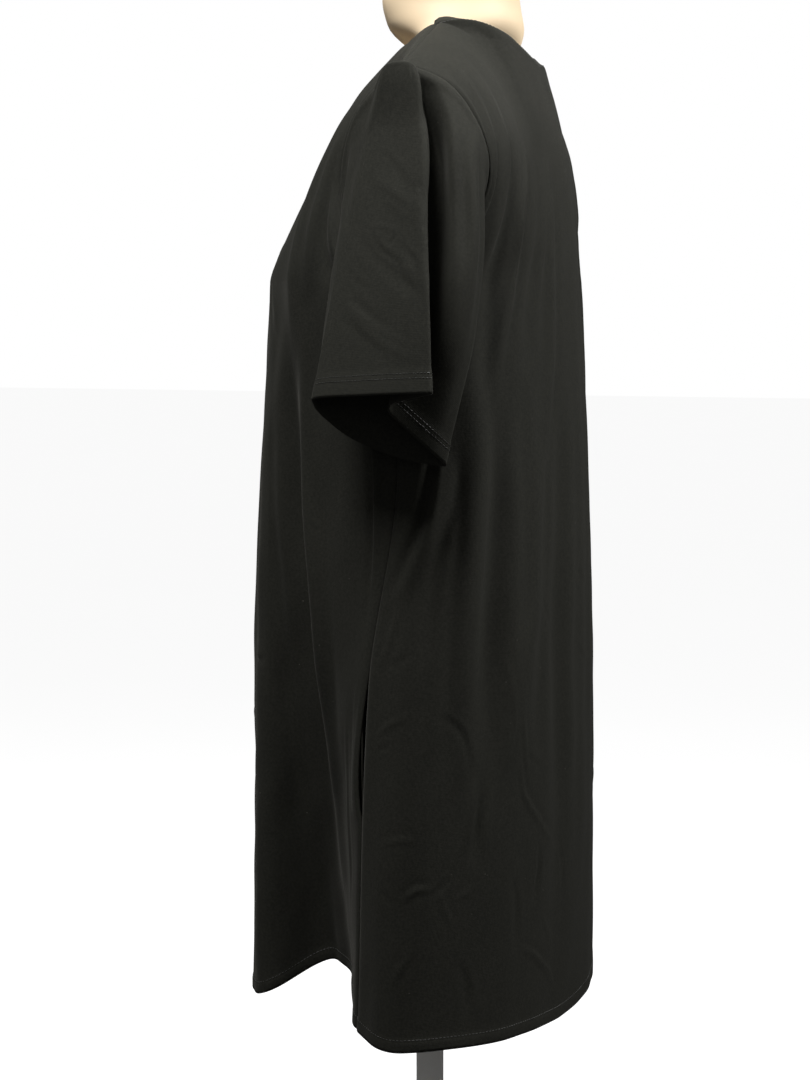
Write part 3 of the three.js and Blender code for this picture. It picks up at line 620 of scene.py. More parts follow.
def jersey_material(name, dark, light):
    """Single jersey: fine wales up the cloth, courses across it, a soft brushed face and a little lint."""
    material, tree, shader = new_material(
        name, metallic=0, sheen_weight=0.03, sheen_roughness=0.35, sheen_tint=(1.0, 0.97, 0.88, 1)
    )
    shader.inputs["Specular IOR Level"].default_value = 0.14
    cloth = node(tree, "ShaderNodeUVMap", {"uv_map": "cloth"})
    place = node(tree, "ShaderNodeTexCoord", {}, output=3)
    split = node(tree, "ShaderNodeSeparateXYZ", {}, cloth)
    upward = Wire(tree, split.socket.node.outputs[1])
    wale = 0.0011
    course = 0.0014
    wobble = node(tree, "ShaderNodeTexNoise", {}, cloth, named={"Scale": 240.0, "Detail": 2.0})
    ribs = (split * (2 * math.pi / wale) + wobble * 3.0).sine()
    loops = (upward * (2 * math.pi / course) + wobble * 3.0).sine()
    knit = ribs * 0.6 + loops * 0.25 + ribs * loops * 0.3
    fuzz = node(tree, "ShaderNodeTexNoise", {}, place, named={"Scale": 900.0, "Detail": 3.0})
    patches = node(tree, "ShaderNodeTexNoise", {}, place, named={"Scale": 6.0, "Detail": 2.0})
    mottle = node(tree, "ShaderNodeTexNoise", {}, place, named={"Scale": 420.0, "Detail": 3.0})
    lint = node(tree, "ShaderNodeTexVoronoi", {}, place, named={"Scale": 140.0})
    rare = node(tree, "ShaderNodeTexNoise", {}, place, named={"Scale": 41.0, "Detail": 1.0})
    specks = (1 - lint.between(0.05, 0.11)) * rare.between(0.67, 0.71)
    shade = (mottle * 0.75 + patches * 0.25 + fuzz * 0.25 + knit * 0.06).between(0.25, 1.05)
    colour = mix_colours(tree, shade, (*dark, 1), (*light, 1))
    colour = mix_colours(tree, specks * 0.4, colour, (0.16, 0.15, 0.13, 1))
    tree.links.new(colour.socket, shader.inputs["Base Color"])
    roughness = 0.78 + fuzz * 0.16
    tree.links.new(roughness.socket, shader.inputs["Roughness"])
    relief = knit * 0.22 + fuzz * 0.5 + mottle * 0.4
    bump = node(tree, "ShaderNodeBump", {}, named={"Strength": 0.45, "Distance": 0.0006, "Height": relief})
    tree.links.new(bump.socket, shader.inputs["Normal"])
    return material


JERSEY_DARK = (0.0088, 0.0090, 0.0068)
JERSEY_LIGHT = (0.0200, 0.0198, 0.0156)
jersey = jersey_material("jersey", JERSEY_DARK, JERSEY_LIGHT)

panel_shapes = {}
for side in ("front", "back"):
    rows, places = panel_rows(side)
    panel_shapes[side] = {"rows": rows, "places": places, "normals": cloth_normals(rows)}

# The two panels share one normal along each seam, so that the seam closes.
front_normals = panel_shapes["front"]["normals"]
back_normals = panel_shapes["back"]["normals"]
last_column = front_normals.shape[1] - 1
for front_index, back_index in ((last_column, 0), (0, last_column)):
    shared = front_normals[: SKIRT_ROWS + 1, front_index] + back_normals[: SKIRT_ROWS + 1, back_index]
    shared /= np.linalg.norm(shared, axis=-1, keepdims=True)
    front_normals[: SKIRT_ROWS + 1, front_index] = shared
    back_normals[: SKIRT_ROWS + 1, back_index] = shared
for k in range(SIDE_COLUMNS + 1):
    for front_index, back_index in ((last_column - k, k), (k, last_column - k)):
        shared = front_normals[-1, front_index] + back_normals[-1, back_index]
        shared /= np.linalg.norm(shared)
        front_normals[-1, front_index] = shared
        back_normals[-1, back_index] = shared

SEAM_DIP = 1.5
SEAM_WIDTH = 2.8
NECK_SEAM_DIP = 1.2
panel_pieces = {}
for side, node_name in (("front", "front_panel"), ("back", "back_panel")):
    shape = panel_shapes[side]
    rows, normals, places = shape["rows"], shape["normals"], shape["places"]
    across, up = cloth_lengths(rows)
    heights = rows[..., 2]
    # Seams sink a little where the allowances turn in, and the hem stands a little proud.
    from_side = np.minimum(across, across[:, -1:] - across)
    from_top = up[-1:] - up
    seam = np.exp(-((from_side / SEAM_WIDTH) ** 2)) + np.exp(-((from_top / SEAM_WIDTH) ** 2))
    hem = 1 / (1 + np.exp((up - HEM_DEPTH) / 0.8))
    groove = np.exp(-(((up - HEM_DEPTH + 1) / 1.2) ** 2))
    relief = HEM_PROUD * hem - 0.5 * groove - SEAM_DIP * np.minimum(1, seam)
    on_neck = np.clip(NECK_LINE - 0.2 - np.abs(places - (0 if side == "front" else BACK_LINE)), 0, 1)
    relief = relief - NECK_SEAM_DIP * np.minimum(1, on_neck / 0.3) * np.exp(-((from_top / 1.6) ** 2))
    inland = 1 - np.exp(-((np.minimum(from_side, from_top) / 12) ** 2))
    relief += press_creases(rows, normals, places, heights, CREASES[side]) * inland
    relief += soft_waves(across, up, 0.6, 11 if side == "front" else 12) * inland
    creased = rows + normals * relief[..., None]
    creased_normals = cloth_normals(creased)
    creased_normals[:, 0] = normals[:, 0]
    creased_normals[:, -1] = normals[:, -1]
    creased_normals[-1] = normals[-1]
    piece = cloth_mesh(f"{side}_cloth", creased, creased_normals, thickness=CLOTH_THICKNESS + 0.8 * hem)
    piece.data.materials.append(jersey)
    shape["finished"] = creased
    shape["finished_normals"] = creased_normals
    panel_pieces[side] = piece


# ---- Sleeves ------------------------------------------------------------------------------------------------
# Each sleeve is one piece of the same jersey, set into the armhole. They hang empty, folded behind a sharp
# outer edge into a deep trough, with an 18 mm hem turned up and sewn in two rows.
SLEEVE_LINES = [
    # name, soft, then the points at cap, elbow, low and cuff
    ("front_edge", 0.20, (193, 0, 782), (207, -12, 715), (220, -25, 645), (233, -39, 565)),
    ("outer_fold", 0.16, (217, 52, 782), (241, 62, 715), (261, 72, 650), (277, 81, 573)),
    ("trough", 0.30, (201, 52, 776), (213, 47, 708), (223, 37, 638), (238, 21, 560)),
    ("rear_ridge", 0.42, (194, 86, 772), (216, 92, 698), (229, 88, 622), (230, 60, 524)),
    ("rear_edge", 0.30, (179, 97, 732), (193, 100, 678), (207, 94, 608), (216, 74, 508)),
    ("inner_back", 0.42, (197, 78, 672), (205, 72, 626), (206, 60, 572), (208, 32, 513)),
    ("underarm", 0.42, (200, 8, 640), (206, 4, 608), (209, -5, 572), (212, -13, 530)),
    ("inner_front", 0.36, (181, -32, 720), (198, -34, 672), (212, -36, 616), (223, -36, 552)),
]
TIP_LINE = 1
SLEEVE_ROWS = 140
SLEEVE_COLUMNS = 200
SLEEVE_HEM = 18
SLEEVE_LENGTH = 300
# Creases of each sleeve, as (line of the sleeve, share of its length from the cuff), then width and depth.
SLEEVE_CREASES = {
    "left": [
        ([(0.36, 0.47), (0.47, 0.39), (0.57, 0.35), (0.61, 0.29), (0.8, 0.22)], 3, 0.6),
        ([(0.4, 0.47), (0.52, 0.455), (0.57, 0.44)], 2.4, -0.4),
        ([(0.57, 0.44), (0.54, 0.42), (0.5, 0.4)], 2.4, 0.4),
        ([(0.58, 0.41), (0.68, 0.345), (0.74, 0.29), (0.74, 0.25)], 3.2, 0.55),
        ([(0.22, 0.34), (0.34, 0.3), (0.42, 0.27)], 3, 0.4),
        ([(0.36, 0.21), (0.5, 0.15), (0.66, 0.1)], 3.2, 0.6),
        ([(0.3, 0.25), (0.4, 0.2), (0.48, 0.15)], 4.5, -0.4),
        ([(0.36, 0.7), (0.5, 0.645), (0.62, 0.58)], 3.6, 0.4),
        ([(0.38, 0.58), (0.52, 0.545), (0.66, 0.5)], 3.2, 0.4),
        ([(0.2, 0.62), (0.32, 0.54), (0.34, 0.46)], 4, -0.35),
        ([(0.26, 0.44), (0.24, 0.36), (0.3, 0.28)], 3.4, -0.3),
        ([(0.8, 0.62), (0.84, 0.48), (0.8, 0.34), (0.86, 0.18)], 3.8, -0.4),
        ([(0.46, 0.86), (0.4, 0.78), (0.44, 0.7)], 5, 0.45),
        ([(0.16, 0.5), (0.34, 0.42), (0.56, 0.31), (0.78, 0.2), (0.88, 0.14)], 7, 0.8),
        ([(0.22, 0.68), (0.4, 0.6), (0.6, 0.53), (0.82, 0.45)], 8, -0.8),
        ([(0.12, 0.3), (0.32, 0.22), (0.54, 0.13), (0.72, 0.07)], 6, -0.7),
        ([(1.5, 1), (1.9, 0.95), (2.15, 0.84), (2.25, 0.7), (2.32, 0.55), (2.4, 0.4), (2.5, 0.12)], 11, 13.5),
        ([(1.75, 1), (1.95, 0.92), (2.15, 0.82), (2.3, 0.7), (2.4, 0.55)], 6.5, 7),
        ([(2.75, 0.9), (2.8, 0.76), (2.9, 0.6), (2.95, 0.42)], 4, 1.8),
        ([(3.05, 0.94), (3.15, 0.78), (3.2, 0.6), (3.2, 0.4), (3.2, 0.2)], 6, -2.4),
        ([(2.6, 0.55), (2.75, 0.4), (2.85, 0.25), (3, 0.12)], 4.5, 0.5),
        ([(3.6, 0.86), (3.75, 0.74), (3.8, 0.6)], 5, 0.6),
        ([(7.2, 0.9), (7.3, 0.7), (7.5, 0.5), (7.4, 0.3)], 6, -1.2),
    ],
    "right": [
        ([(0.3, 0.52), (0.44, 0.44), (0.56, 0.36), (0.66, 0.3)], 3.2, 0.55),
        ([(0.44, 0.4), (0.56, 0.43), (0.68, 0.42)], 2.6, -0.4),
        ([(0.62, 0.33), (0.7, 0.27), (0.78, 0.18)], 3, 0.5),
        ([(0.24, 0.28), (0.38, 0.22), (0.54, 0.13)], 3.2, 0.55),
        ([(0.4, 0.68), (0.52, 0.61), (0.64, 0.57)], 3.6, 0.45),
        ([(0.22, 0.64), (0.3, 0.52), (0.28, 0.4)], 4, -0.35),
        ([(0.78, 0.66), (0.82, 0.5), (0.8, 0.3)], 3.8, -0.4),
        ([(1.5, 1), (1.9, 0.95), (2.15, 0.84), (2.25, 0.68), (2.32, 0.53), (2.4, 0.38), (2.5, 0.1)], 12, 11.5),
        ([(1.75, 1), (1.95, 0.91), (2.15, 0.8), (2.3, 0.66), (2.35, 0.55)], 7, 6),
        ([(2.8, 0.88), (2.85, 0.7), (2.95, 0.52)], 4, 1.6),
        ([(3.2, 0.9), (3.2, 0.7), (3.25, 0.45), (3.2, 0.25)], 5, -0.6),
        ([(3.65, 0.84), (3.75, 0.7), (3.85, 0.55)], 5, 0.55),
        ([(7.3, 0.86), (7.35, 0.66), (7.5, 0.42)], 6, -1.1),
    ],
}
ARM_SHIFT = 0.9
ARM_LAP = 1.6


def sleeve_corner(number, level):
    line = SLEEVE_LINES[number % len(SLEEVE_LINES)]
    return np.array(line[2 + level], float), line[1]


def armhole_point(steps):
    """A point and normal of the panels' armhole edge, in CAD steps from the shoulder tip, down the back."""
    side, index = ("back", 12 - steps) if steps <= 12 else ("front", steps - 12)
    shape = panel_shapes[side]
    column = 0 if side == "back" else last_column
    row = SKIRT_ROWS + index * YOKE_ROWS / 12
    low = min(int(row), SKIRT_ROWS + YOKE_ROWS - 1)
    share = row - low
    edge = shape["rows"][:, column]
    normal = shape["normals"][:, column]
    point = edge[low] * (1 - share) + edge[low + 1] * share
    return point, normal[low] * (1 - share) + normal[low + 1] * share


sleeve_places = even_places(lambda n: sleeve_corner(n, 2), 0, len(SLEEVE_LINES), SLEEVE_COLUMNS)[:-1]
sleeve_rings = [
    around_ring(lambda n, level=level: sleeve_corner(n, level), sleeve_places) for level in range(4)
]
arm_ring = []
for place, cap in zip(sleeve_places, sleeve_rings[0]):
    point, normal = armhole_point(((place - TIP_LINE) * 3) % 24)
    leaving = (cap - point) / np.linalg.norm(cap - point)
    lap = ARM_LAP * (1 - max(0, leaving @ normal) ** 2)
    arm_ring.append(point + (ARM_SHIFT, 0, 0) + normal * lap)
sleeve_rows = smooth_through(
    [0, 0.25, 0.5, 0.75, 1], [np.array(arm_ring), *sleeve_rings], 1 - np.arange(SLEEVE_ROWS + 1) / SLEEVE_ROWS
)

# The cap stands up round the shoulder tip in a short flat crown before it folds down in front and behind.
CROWN_FRONT = np.array((8.0, 4.0, 16.0))
CROWN_FOLD = np.array((6.0, 10.0, 6.0))


def ease(value, low, high):
    t = np.clip((value - low) / (high - low), 0, 1)
    return t * t * (3 - 2 * t)


shares = (np.arange(SLEEVE_ROWS + 1) / SLEEVE_ROWS)[:, None]
signed_places = np.where(sleeve_places > 4, sleeve_places - len(SLEEVE_LINES), sleeve_places)[None, :]
crown = ease(1 - shares, 0, 0.05) * ease(shares, 0.76, 0.93)
crown = crown * ease(signed_places, -0.45, -0.05) * (1 - ease(signed_places, 1.05, 1.4))
crown_place = np.clip(signed_places, 0, 1)[..., None]
sleeve_rows = sleeve_rows + crown[..., None] * (CROWN_FRONT * (1 - crown_place) + CROWN_FOLD * crown_place)
sleeve_normals = cloth_normals(sleeve_rows, closed=True)
_, sleeve_up = cloth_lengths(sleeve_rows)
sleeve_hem = 1 / (1 + np.exp((sleeve_up - SLEEVE_HEM) / 0.8))
sleeve_grooves = np.exp(-(((sleeve_up - SLEEVE_HEM + 1.5) / 1.1) ** 2))
sleeve_grooves += np.exp(-(((sleeve_up - SLEEVE_HEM + 5.5) / 1.1) ** 2))
sleeve_relief = HEM_PROUD * sleeve_hem - 0.35 * sleeve_grooves
sleeve_shares = np.repeat(np.arange(SLEEVE_ROWS + 1)[:, None] / SLEEVE_ROWS, SLEEVE_COLUMNS, axis=1)
sleeve_across, _ = cloth_lengths(sleeve_rows)
# Waves fade out towards the underarm, where the first and last columns meet.
sleeve_girth = sleeve_across[:, -1:] + np.linalg.norm(sleeve_rows[:, :1] - sleeve_rows[:, -1:], axis=-1)
wave_fade = np.sin(np.pi * sleeve_across / sleeve_girth) ** 0.5
from_arm = sleeve_up[-1:] - sleeve_up
arm_fade = 1 - np.exp(-((from_arm / 9) ** 2))
sleeve_relief = sleeve_relief - 2.0 * np.exp(-((from_arm / 2.3) ** 2))
sleeve_relief = sleeve_relief + 0.9 * np.exp(-(((from_arm - 8) / 4) ** 2))

sleeve_pieces = {}
for side, mirror in (("left", 1), ("right", -1)):
    creases = [
        ([(place, share * SLEEVE_LENGTH) for place, share in points], width, depth)
        for points, width, depth in SLEEVE_CREASES[side]
    ]
    relief = press_creases(sleeve_rows, sleeve_normals, sleeve_places, sleeve_shares * SLEEVE_LENGTH, creases)
    relief += soft_waves(sleeve_across, sleeve_up, 0.5, 21 if mirror > 0 else 22) * wave_fade
    relief = relief * arm_fade + sleeve_relief
    rows = sleeve_rows + sleeve_normals * relief[..., None]
    if mirror < 0:
        rows = rows[:, ::-1] * (-1, 1, 1)
    normals = cloth_normals(rows, closed=True)
    thick = CLOTH_THICKNESS + 0.7 * (sleeve_hem if mirror > 0 else sleeve_hem[:, ::-1])
    piece = cloth_mesh(f"sleeve_cloth_{side}", rows, normals, closed=True, thickness=thick)
    piece.data.materials.append(jersey)
    sleeve_pieces[side] = {"piece": piece, "rows": rows, "normals": normals}


# ---- Neck band ----------------------------------------------------------------------------------------------
# A strip of the same jersey, folded along its length and sewn to the neckline, so it stands up as a soft
# double edge round the neck.
BAND_HEIGHT = 11
BAND_LEAN = 0.3
BAND_CENTRE_Y = 20
BAND_ROWS = 12
BAND_START = 0.1

middle = last_column // 2
band_loop = [("front", j) for j in range(middle, middle + NECK_COLUMNS)]
band_loop += [("back", j) for j in range(middle - NECK_COLUMNS, middle + NECK_COLUMNS + 1)]
band_loop += [("front", j) for j in range(middle - NECK_COLUMNS + 1, middle)]
band_rows = []
band_base = np.array([panel_shapes[side]["finished"][-1, j] for side, j in band_loop])
below = np.array([panel_shapes[side]["rows"][-4, j] for side, j in band_loop])
onwards = band_base - below
onwards /= np.linalg.norm(onwards, axis=-1, keepdims=True)
inward = np.stack((-band_base[:, 0], BAND_CENTRE_Y - band_base[:, 1], np.zeros(len(band_base))), 1)
inward /= np.linalg.norm(inward, axis=-1, keepdims=True)
# Over the shoulders the band lies almost flat, towards the neck.
lean = BAND_LEAN + 1.5 * np.clip(np.abs(band_base[:, :1]) / NECK_POINT[0], 0, 1) ** 4
# At the middle of the back it leans in too.
lean = lean + 0.7 * np.exp(-((band_base[:, :1] / 30) ** 2)) * (band_base[:, 1:2] > 0)
leaning = inward * lean + (0, 0, 1)
leaning /= np.linalg.norm(leaning, axis=-1, keepdims=True)
steps = onwards * 0.25 + leaning * 0.75
steps /= np.linalg.norm(steps, axis=-1, keepdims=True)
for row in range(BAND_ROWS + 1):
    band_rows.append(band_base + steps * (BAND_START + BAND_HEIGHT * row / BAND_ROWS))
band_rows = np.array(band_rows)
band_normals = cloth_normals(band_rows, closed=True)
band_share = np.linspace(0, 1, BAND_ROWS + 1)[:, None]
band_thickness = 1.9 * np.sqrt(np.clip(1 - np.abs(2 * band_share - 1) ** 6, 0.08, 1)) * np.ones(len(band_loop))
neck_band = cloth_mesh("neck_band_cloth", band_rows, band_normals, closed=True, thickness=band_thickness)
neck_band.data.materials.append(jersey)


# ---- Pocket bags --------------------------------------------------------------------------------------------
# A flat bag of the same jersey hangs inside each side seam, behind the open slit.
POCKET_START = (198.7, -4)
POCKET_LENGTH = 108
POCKET_BOTTOM, POCKET_TOP = 154, 348
POCKET_THICKNESS = 16
POCKET_ROWS = 36
POCKET_COLUMNS = 57

pocket_pieces = {}
for side, mirror in (("left", 1), ("right", -1)):
    angles = np.linspace(0.42, 2 * math.pi - 0.42, POCKET_COLUMNS)
    rows = []
    for row in range(POCKET_ROWS + 1):
        turn = math.pi * (row + 0.6) / (POCKET_ROWS + 1.2)
        spread = math.sin(turn) ** 0.5
        full = np.sign(np.sin(angles)) * np.abs(np.sin(angles)) ** 0.6
        x = POCKET_START[0] - POCKET_LENGTH / 2 + (POCKET_LENGTH / 2) * spread * np.cos(angles)
        y = POCKET_START[1] + (POCKET_THICKNESS / 2 - 0.8) * spread * full
        z = (POCKET_BOTTOM + POCKET_TOP) / 2 - (POCKET_TOP - POCKET_BOTTOM) / 2 * math.cos(turn)
        rows.append(np.stack((x, y, np.full(POCKET_COLUMNS, z)), 1))
    rows = np.array(rows)
    if mirror < 0:
        rows = rows[:, ::-1] * (-1, 1, 1)
    bag = cloth_mesh(f"pocket_cloth_{side}", rows, cloth_normals(rows))
    bag.data.materials.append(jersey)
    pocket_pieces[side] = {"piece": bag, "rows": rows}


# ---- Stitching ----------------------------------------------------------------------------------------------
# Rows of matching thread hold the hems, two at each cuff and one at the skirt, and one row runs round the
# neckline under the band.
STITCH_LENGTH = 2.6
STITCH_GAP = 3.4
THREAD_RADIUS = 0.32


def stitch_tree(material):
    """Geometry nodes that lay short rounded stitches along a line of vertices."""
    tree = bpy.data.node_groups.new("stitch_run", "GeometryNodeTree")
    tree.interface.new_socket("Line", in_out="INPUT", socket_type="NodeSocketGeometry")
    for name, value in (("Gap", STITCH_GAP), ("Length", STITCH_LENGTH), ("Radius", THREAD_RADIUS)):
        socket = tree.interface.new_socket(name, in_out="INPUT", socket_type="NodeSocketFloat")
        socket.default_value = value * MM
    tree.interface.new_socket("Stitches", in_out="OUTPUT", socket_type="NodeSocketGeometry")
    entry = tree.nodes.new("NodeGroupInput")
    line, gap, length, radius = (Wire(tree, entry.outputs[name]) for name in ("Line", "Gap", "Length", "Radius"))
    curve = node(tree, "GeometryNodeMeshToCurve", {}, line)
    sampled = node(tree, "GeometryNodeCurveToPoints", {"mode": "LENGTH"}, curve, named={"Length": gap})
    thread = node(tree, "GeometryNodeMeshUVSphere", {}, 6, 4, radius)
    scale = node(tree, "ShaderNodeCombineXYZ", {}, 1.0, 1.0, length.math("DIVIDE", length, radius) * 0.5)
    stretched = node(tree, "GeometryNodeTransform", {}, thread, named={"Scale": scale})
    tangent = Wire(tree, sampled.socket.node.outputs["Tangent"])
    turned = node(tree, "FunctionNodeAlignRotationToVector", {"axis": "Z"}, named={"Vector": tangent})
    placed = node(tree, "GeometryNodeInstanceOnPoints", {}, sampled, named={"Instance": stretched, "Rotation": turned})
    real = node(tree, "GeometryNodeRealizeInstances", {}, placed)
    finish = node(tree, "GeometryNodeSetMaterial", {}, real, named={"Material": material})
    leave = tree.nodes.new("NodeGroupOutput")
    tree.links.new(finish.socket, leave.inputs["Stitches"])
    return tree


def thread_material():
    material, tree, shader = new_material("black_thread", roughness=0.55, sheen_weight=0.2)
    place = node(tree, "ShaderNodeTexCoord", {}, output=3)
    twist = node(tree, "ShaderNodeTexNoise", {}, place, named={"Scale": 1400.0, "Detail": 1.0})
    colour = mix_colours(tree, twist, (0.008, 0.008, 0.0065, 1), (0.017, 0.0165, 0.0135, 1))
    tree.links.new(colour.socket, shader.inputs["Base Color"])
    return material


stitches = stitch_tree(thread_material())


def sew(name, lines):
    """One mesh of stitches along several lines of points, in millimetres above the hem."""
    points = []
    edges = []
    for line in lines:
        first = len(points)
        points += [tuple((np.asarray(p) + (0, 0, HEM_HEIGHT)) * MM) for p in line]
        edges += [(first + k, first + k + 1) for k in range(len(line) - 1)]
    mesh = bpy.data.meshes.new(name)
    mesh.from_pydata(points, edges, [])
    guide = bpy.data.objects.new(name, mesh)
    bpy.context.scene.collection.objects.link(guide)
    modifier = guide.modifiers.new("stitch_run", "NODES")
    modifier.node_group = stitches
    made = bpy.data.meshes.new_from_object(guide.evaluated_get(bpy.context.evaluated_depsgraph_get()))
    guide.modifiers.remove(modifier)
    guide.data = made
    made.name = name
    return guide


def row_at(rows, normals, distance, thick, end=0):
    """The line on the cloth's outer face at a distance from its first row, or from its last."""
    use = rows if end == 0 else rows[::-1]
    turned = normals if end == 0 else normals[::-1]
    _, up = cloth_lengths(use)
    line = []
    for j in range(use.shape[1]):
        k = int(np.clip(np.searchsorted(up[:, j], distance) - 1, 0, use.shape[0] - 2))
        t = (distance - up[k, j]) / max(up[k + 1, j] - up[k, j], 1e-6)
        point = use[k, j] * (1 - t) + use[k + 1, j] * t
        line.append(point + turned[k, j] * thick)
    return line


sewn = {}
for side in ("front", "back"):
    shape = panel_shapes[side]
    rows, normals = shape["finished"], shape["finished_normals"]
    hem_row = row_at(rows, normals, HEM_DEPTH - 1.2, 1.05)
    neck = slice(middle - NECK_COLUMNS, middle + NECK_COLUMNS + 1)
    neckline = row_at(rows[:, neck], normals[:, neck], 4.0, 0.75, end=1)
    sewn[side] = sew(f"{side}_stitches", [hem_row, neckline])
for side, made in sleeve_pieces.items():
    lines = [row_at(made["rows"], made["normals"], SLEEVE_HEM - offset, 1.05) for offset in (1.5, 5.5)]
    sewn[side] = sew(f"sleeve_stitches_{side}", [[*line, line[0]] for line in lines])


# ---- Dress form ---------------------------------------------------------------------------------------------
# A smooth limbless form of matt cream, moulded in one piece, of which only the neck shows above the dress.
FORM_RINGS = [
    # height, half width, front, back, middle, pinch
    (362, 142, 90, 96, 6, 0.0),
    (368, 148, 96, 102, 6, 0.0),
    (410, 142, 94, 100, 6, 0.0),
    (484, 124, 88, 92, 8, 0.0),
    (560, 138, 104, 100, 10, 0.0),
    (620, 148, 124, 104, 12, 0.0),
    (660, 153, 128, 108, 14, 0.0),
    (700, 153, 112, 104, 16, 0.0),
    (740, 152, 92, 96, 19, 0.1),
    (780, 156, 84, 86, 22, 0.4),
    (806, 160, 62, 72, 25, 1.0),
    (826, 172, 54, 64, 27, 1.8),
    (838, 174, 48, 60, 28, 2.8),
    (852, 148, 46, 60, 28, 3.4),
    (864, 112, 46, 60, 28, 3.0),
    (867, 96, 46, 60, 28.5, 2.6),
    (873, 71, 54, 60, 27, 0.6),
    (886, 66, 62, 62, 25, 0.2),
    (908, 60, 64, 60, 22, 0.0),
    (936, 57, 61, 58, 19, 0.0),
    (966, 56, 60, 58, 17, 0.0),
    (970, 54.5, 58.5, 56.5, 17, 0.0),
    (972, 52, 56, 54, 17, 0.0),
]
FORM_SIDES = 128
FORM_STEP = 5.0
FORM_SPREAD_ROUND = 2.2
FORM_SPREAD_UP = 5


def form_material():
    """Matt cream moulding: near even, in faint warmer and paler clouds, with a faint pebble."""
    material, tree, shader = new_material("form_cream", metallic=0)
    place = node(tree, "ShaderNodeTexCoord", {}, output=3)
    clouds = node(tree, "ShaderNodeTexNoise", {}, place, named={"Scale": 7.0, "Detail": 3.0})
    grain = node(tree, "ShaderNodeTexNoise", {}, place, named={"Scale": 700.0, "Detail": 2.0})
    colour = mix_colours(tree, clouds, (0.62, 0.475, 0.305, 1), (0.66, 0.53, 0.36, 1))
    tree.links.new(colour.socket, shader.inputs["Base Color"])
    roughness = 0.52 + grain * 0.12
    tree.links.new(roughness.socket, shader.inputs["Roughness"])
    bump = node(tree, "ShaderNodeBump", {}, named={"Strength": 0.12, "Distance": 0.0004, "Height": grain})
    tree.links.new(bump.socket, shader.inputs["Normal"])
    return material


def solid_of_rings(name, rings, lift=0):
    """A closed smooth solid through rings of points, with a flat fan at each end."""
    rings = np.array(rings)
    count, sides = rings.shape[:2]
    points = np.concatenate((rings.reshape(-1, 3), [rings[0].mean(axis=0)], [rings[-1].mean(axis=0)]))
    faces = []
    for i in range(count - 1):
        for k in range(sides):
            nxt = (k + 1) % sides
            faces.append((i * sides + k, i * sides + nxt, (i + 1) * sides + nxt, (i + 1) * sides + k))
    for k in range(sides):
        nxt = (k + 1) % sides
        faces.append((count * sides, nxt, k))
        faces.append((count * sides + 1, (count - 1) * sides + k, (count - 1) * sides + nxt))
    mesh = bpy.data.meshes.new(name)
    mesh.from_pydata(((points + (0, 0, lift)) * MM).tolist(), [], faces)
    mesh.polygons.foreach_set("use_smooth", np.ones(len(mesh.polygons), bool))
    mesh.set_sharp_from_angle(angle=math.radians(38))
    mesh.update()
    piece = bpy.data.objects.new(name, mesh)
    bpy.context.scene.collection.objects.link(piece)
    return piece


form_angles = np.linspace(0, 2 * math.pi, FORM_SIDES, endpoint=False)
cosine, sine = np.cos(form_angles), np.sin(form_angles)
form_rings = []
for height, half_width, front, back, centre, pinch in FORM_RINGS:
    x = half_width * np.sign(cosine) * np.abs(cosine) ** (0.86 + pinch)
    y = centre + np.where(sine < 0, front, back) * np.sign(sine) * np.abs(sine) ** (0.92 + 0.35 * pinch)
    form_rings.append(np.stack((x, y, np.full(FORM_SIDES, height)), 1))

# The rings are evened out along their length, filled in between, and rounded where the shoulders meet the neck.
even_rings = []
for ring in form_rings:
    looped = np.concatenate((ring, ring[:1]))
    reach = np.concatenate(([0], np.cumsum(np.linalg.norm(np.diff(looped, axis=0), axis=1))))
    even = np.linspace(0, reach[-1], FORM_SIDES, endpoint=False)
    even_rings.append(np.stack([np.interp(even, reach, looped[:, axis]) for axis in range(3)], 1))
even_rings = np.array(even_rings)
ring_heights = even_rings[:, 0, 2]
between_rings = np.arange(ring_heights[0] + 4, ring_heights[-1] - 4, FORM_STEP)
form_heights = np.unique(np.concatenate((ring_heights, between_rings)))
above = np.clip(np.searchsorted(ring_heights, form_heights), 1, len(ring_heights) - 1)
share = (form_heights - ring_heights[above - 1]) / (ring_heights[above] - ring_heights[above - 1])
share = share[:, None, None]
filled = even_rings[above - 1] * (1 - share) + even_rings[above] * share
kernel = np.exp(-0.5 * (np.arange(-8, 9) / FORM_SPREAD_ROUND) ** 2)
rounded = sum(weight * np.roll(filled, k - 8, axis=1) for k, weight in enumerate(kernel / kernel.sum()))
blend = np.exp(-0.5 * ((form_heights[:, None] - form_heights[None, :]) / FORM_SPREAD_UP) ** 2)
rounded = np.einsum("ij,jkc->ikc", blend / blend.sum(axis=1, keepdims=True), rounded)
rounded[:, :, 2] = filled[:, :, 2]
soften = (ease(form_heights, 700, 770) * (1 - ease(form_heights, 920, 955)))[:, None, None]
dress_form = solid_of_rings("form_moulding", filled + (rounded - filled) * soften, lift=HEM_HEIGHT)
dress_form.data.materials.append(form_material())


# ---- Stand --------------------------------------------------------------------------------------------------
# A plain steel pole on a round steel base, both painted a satin off-white.
POLE_RADIUS = 13
BASE_RADIUS = 165
BASE_HEIGHT = 16
BASE_EDGE = 6
STAND_SIDES = 96


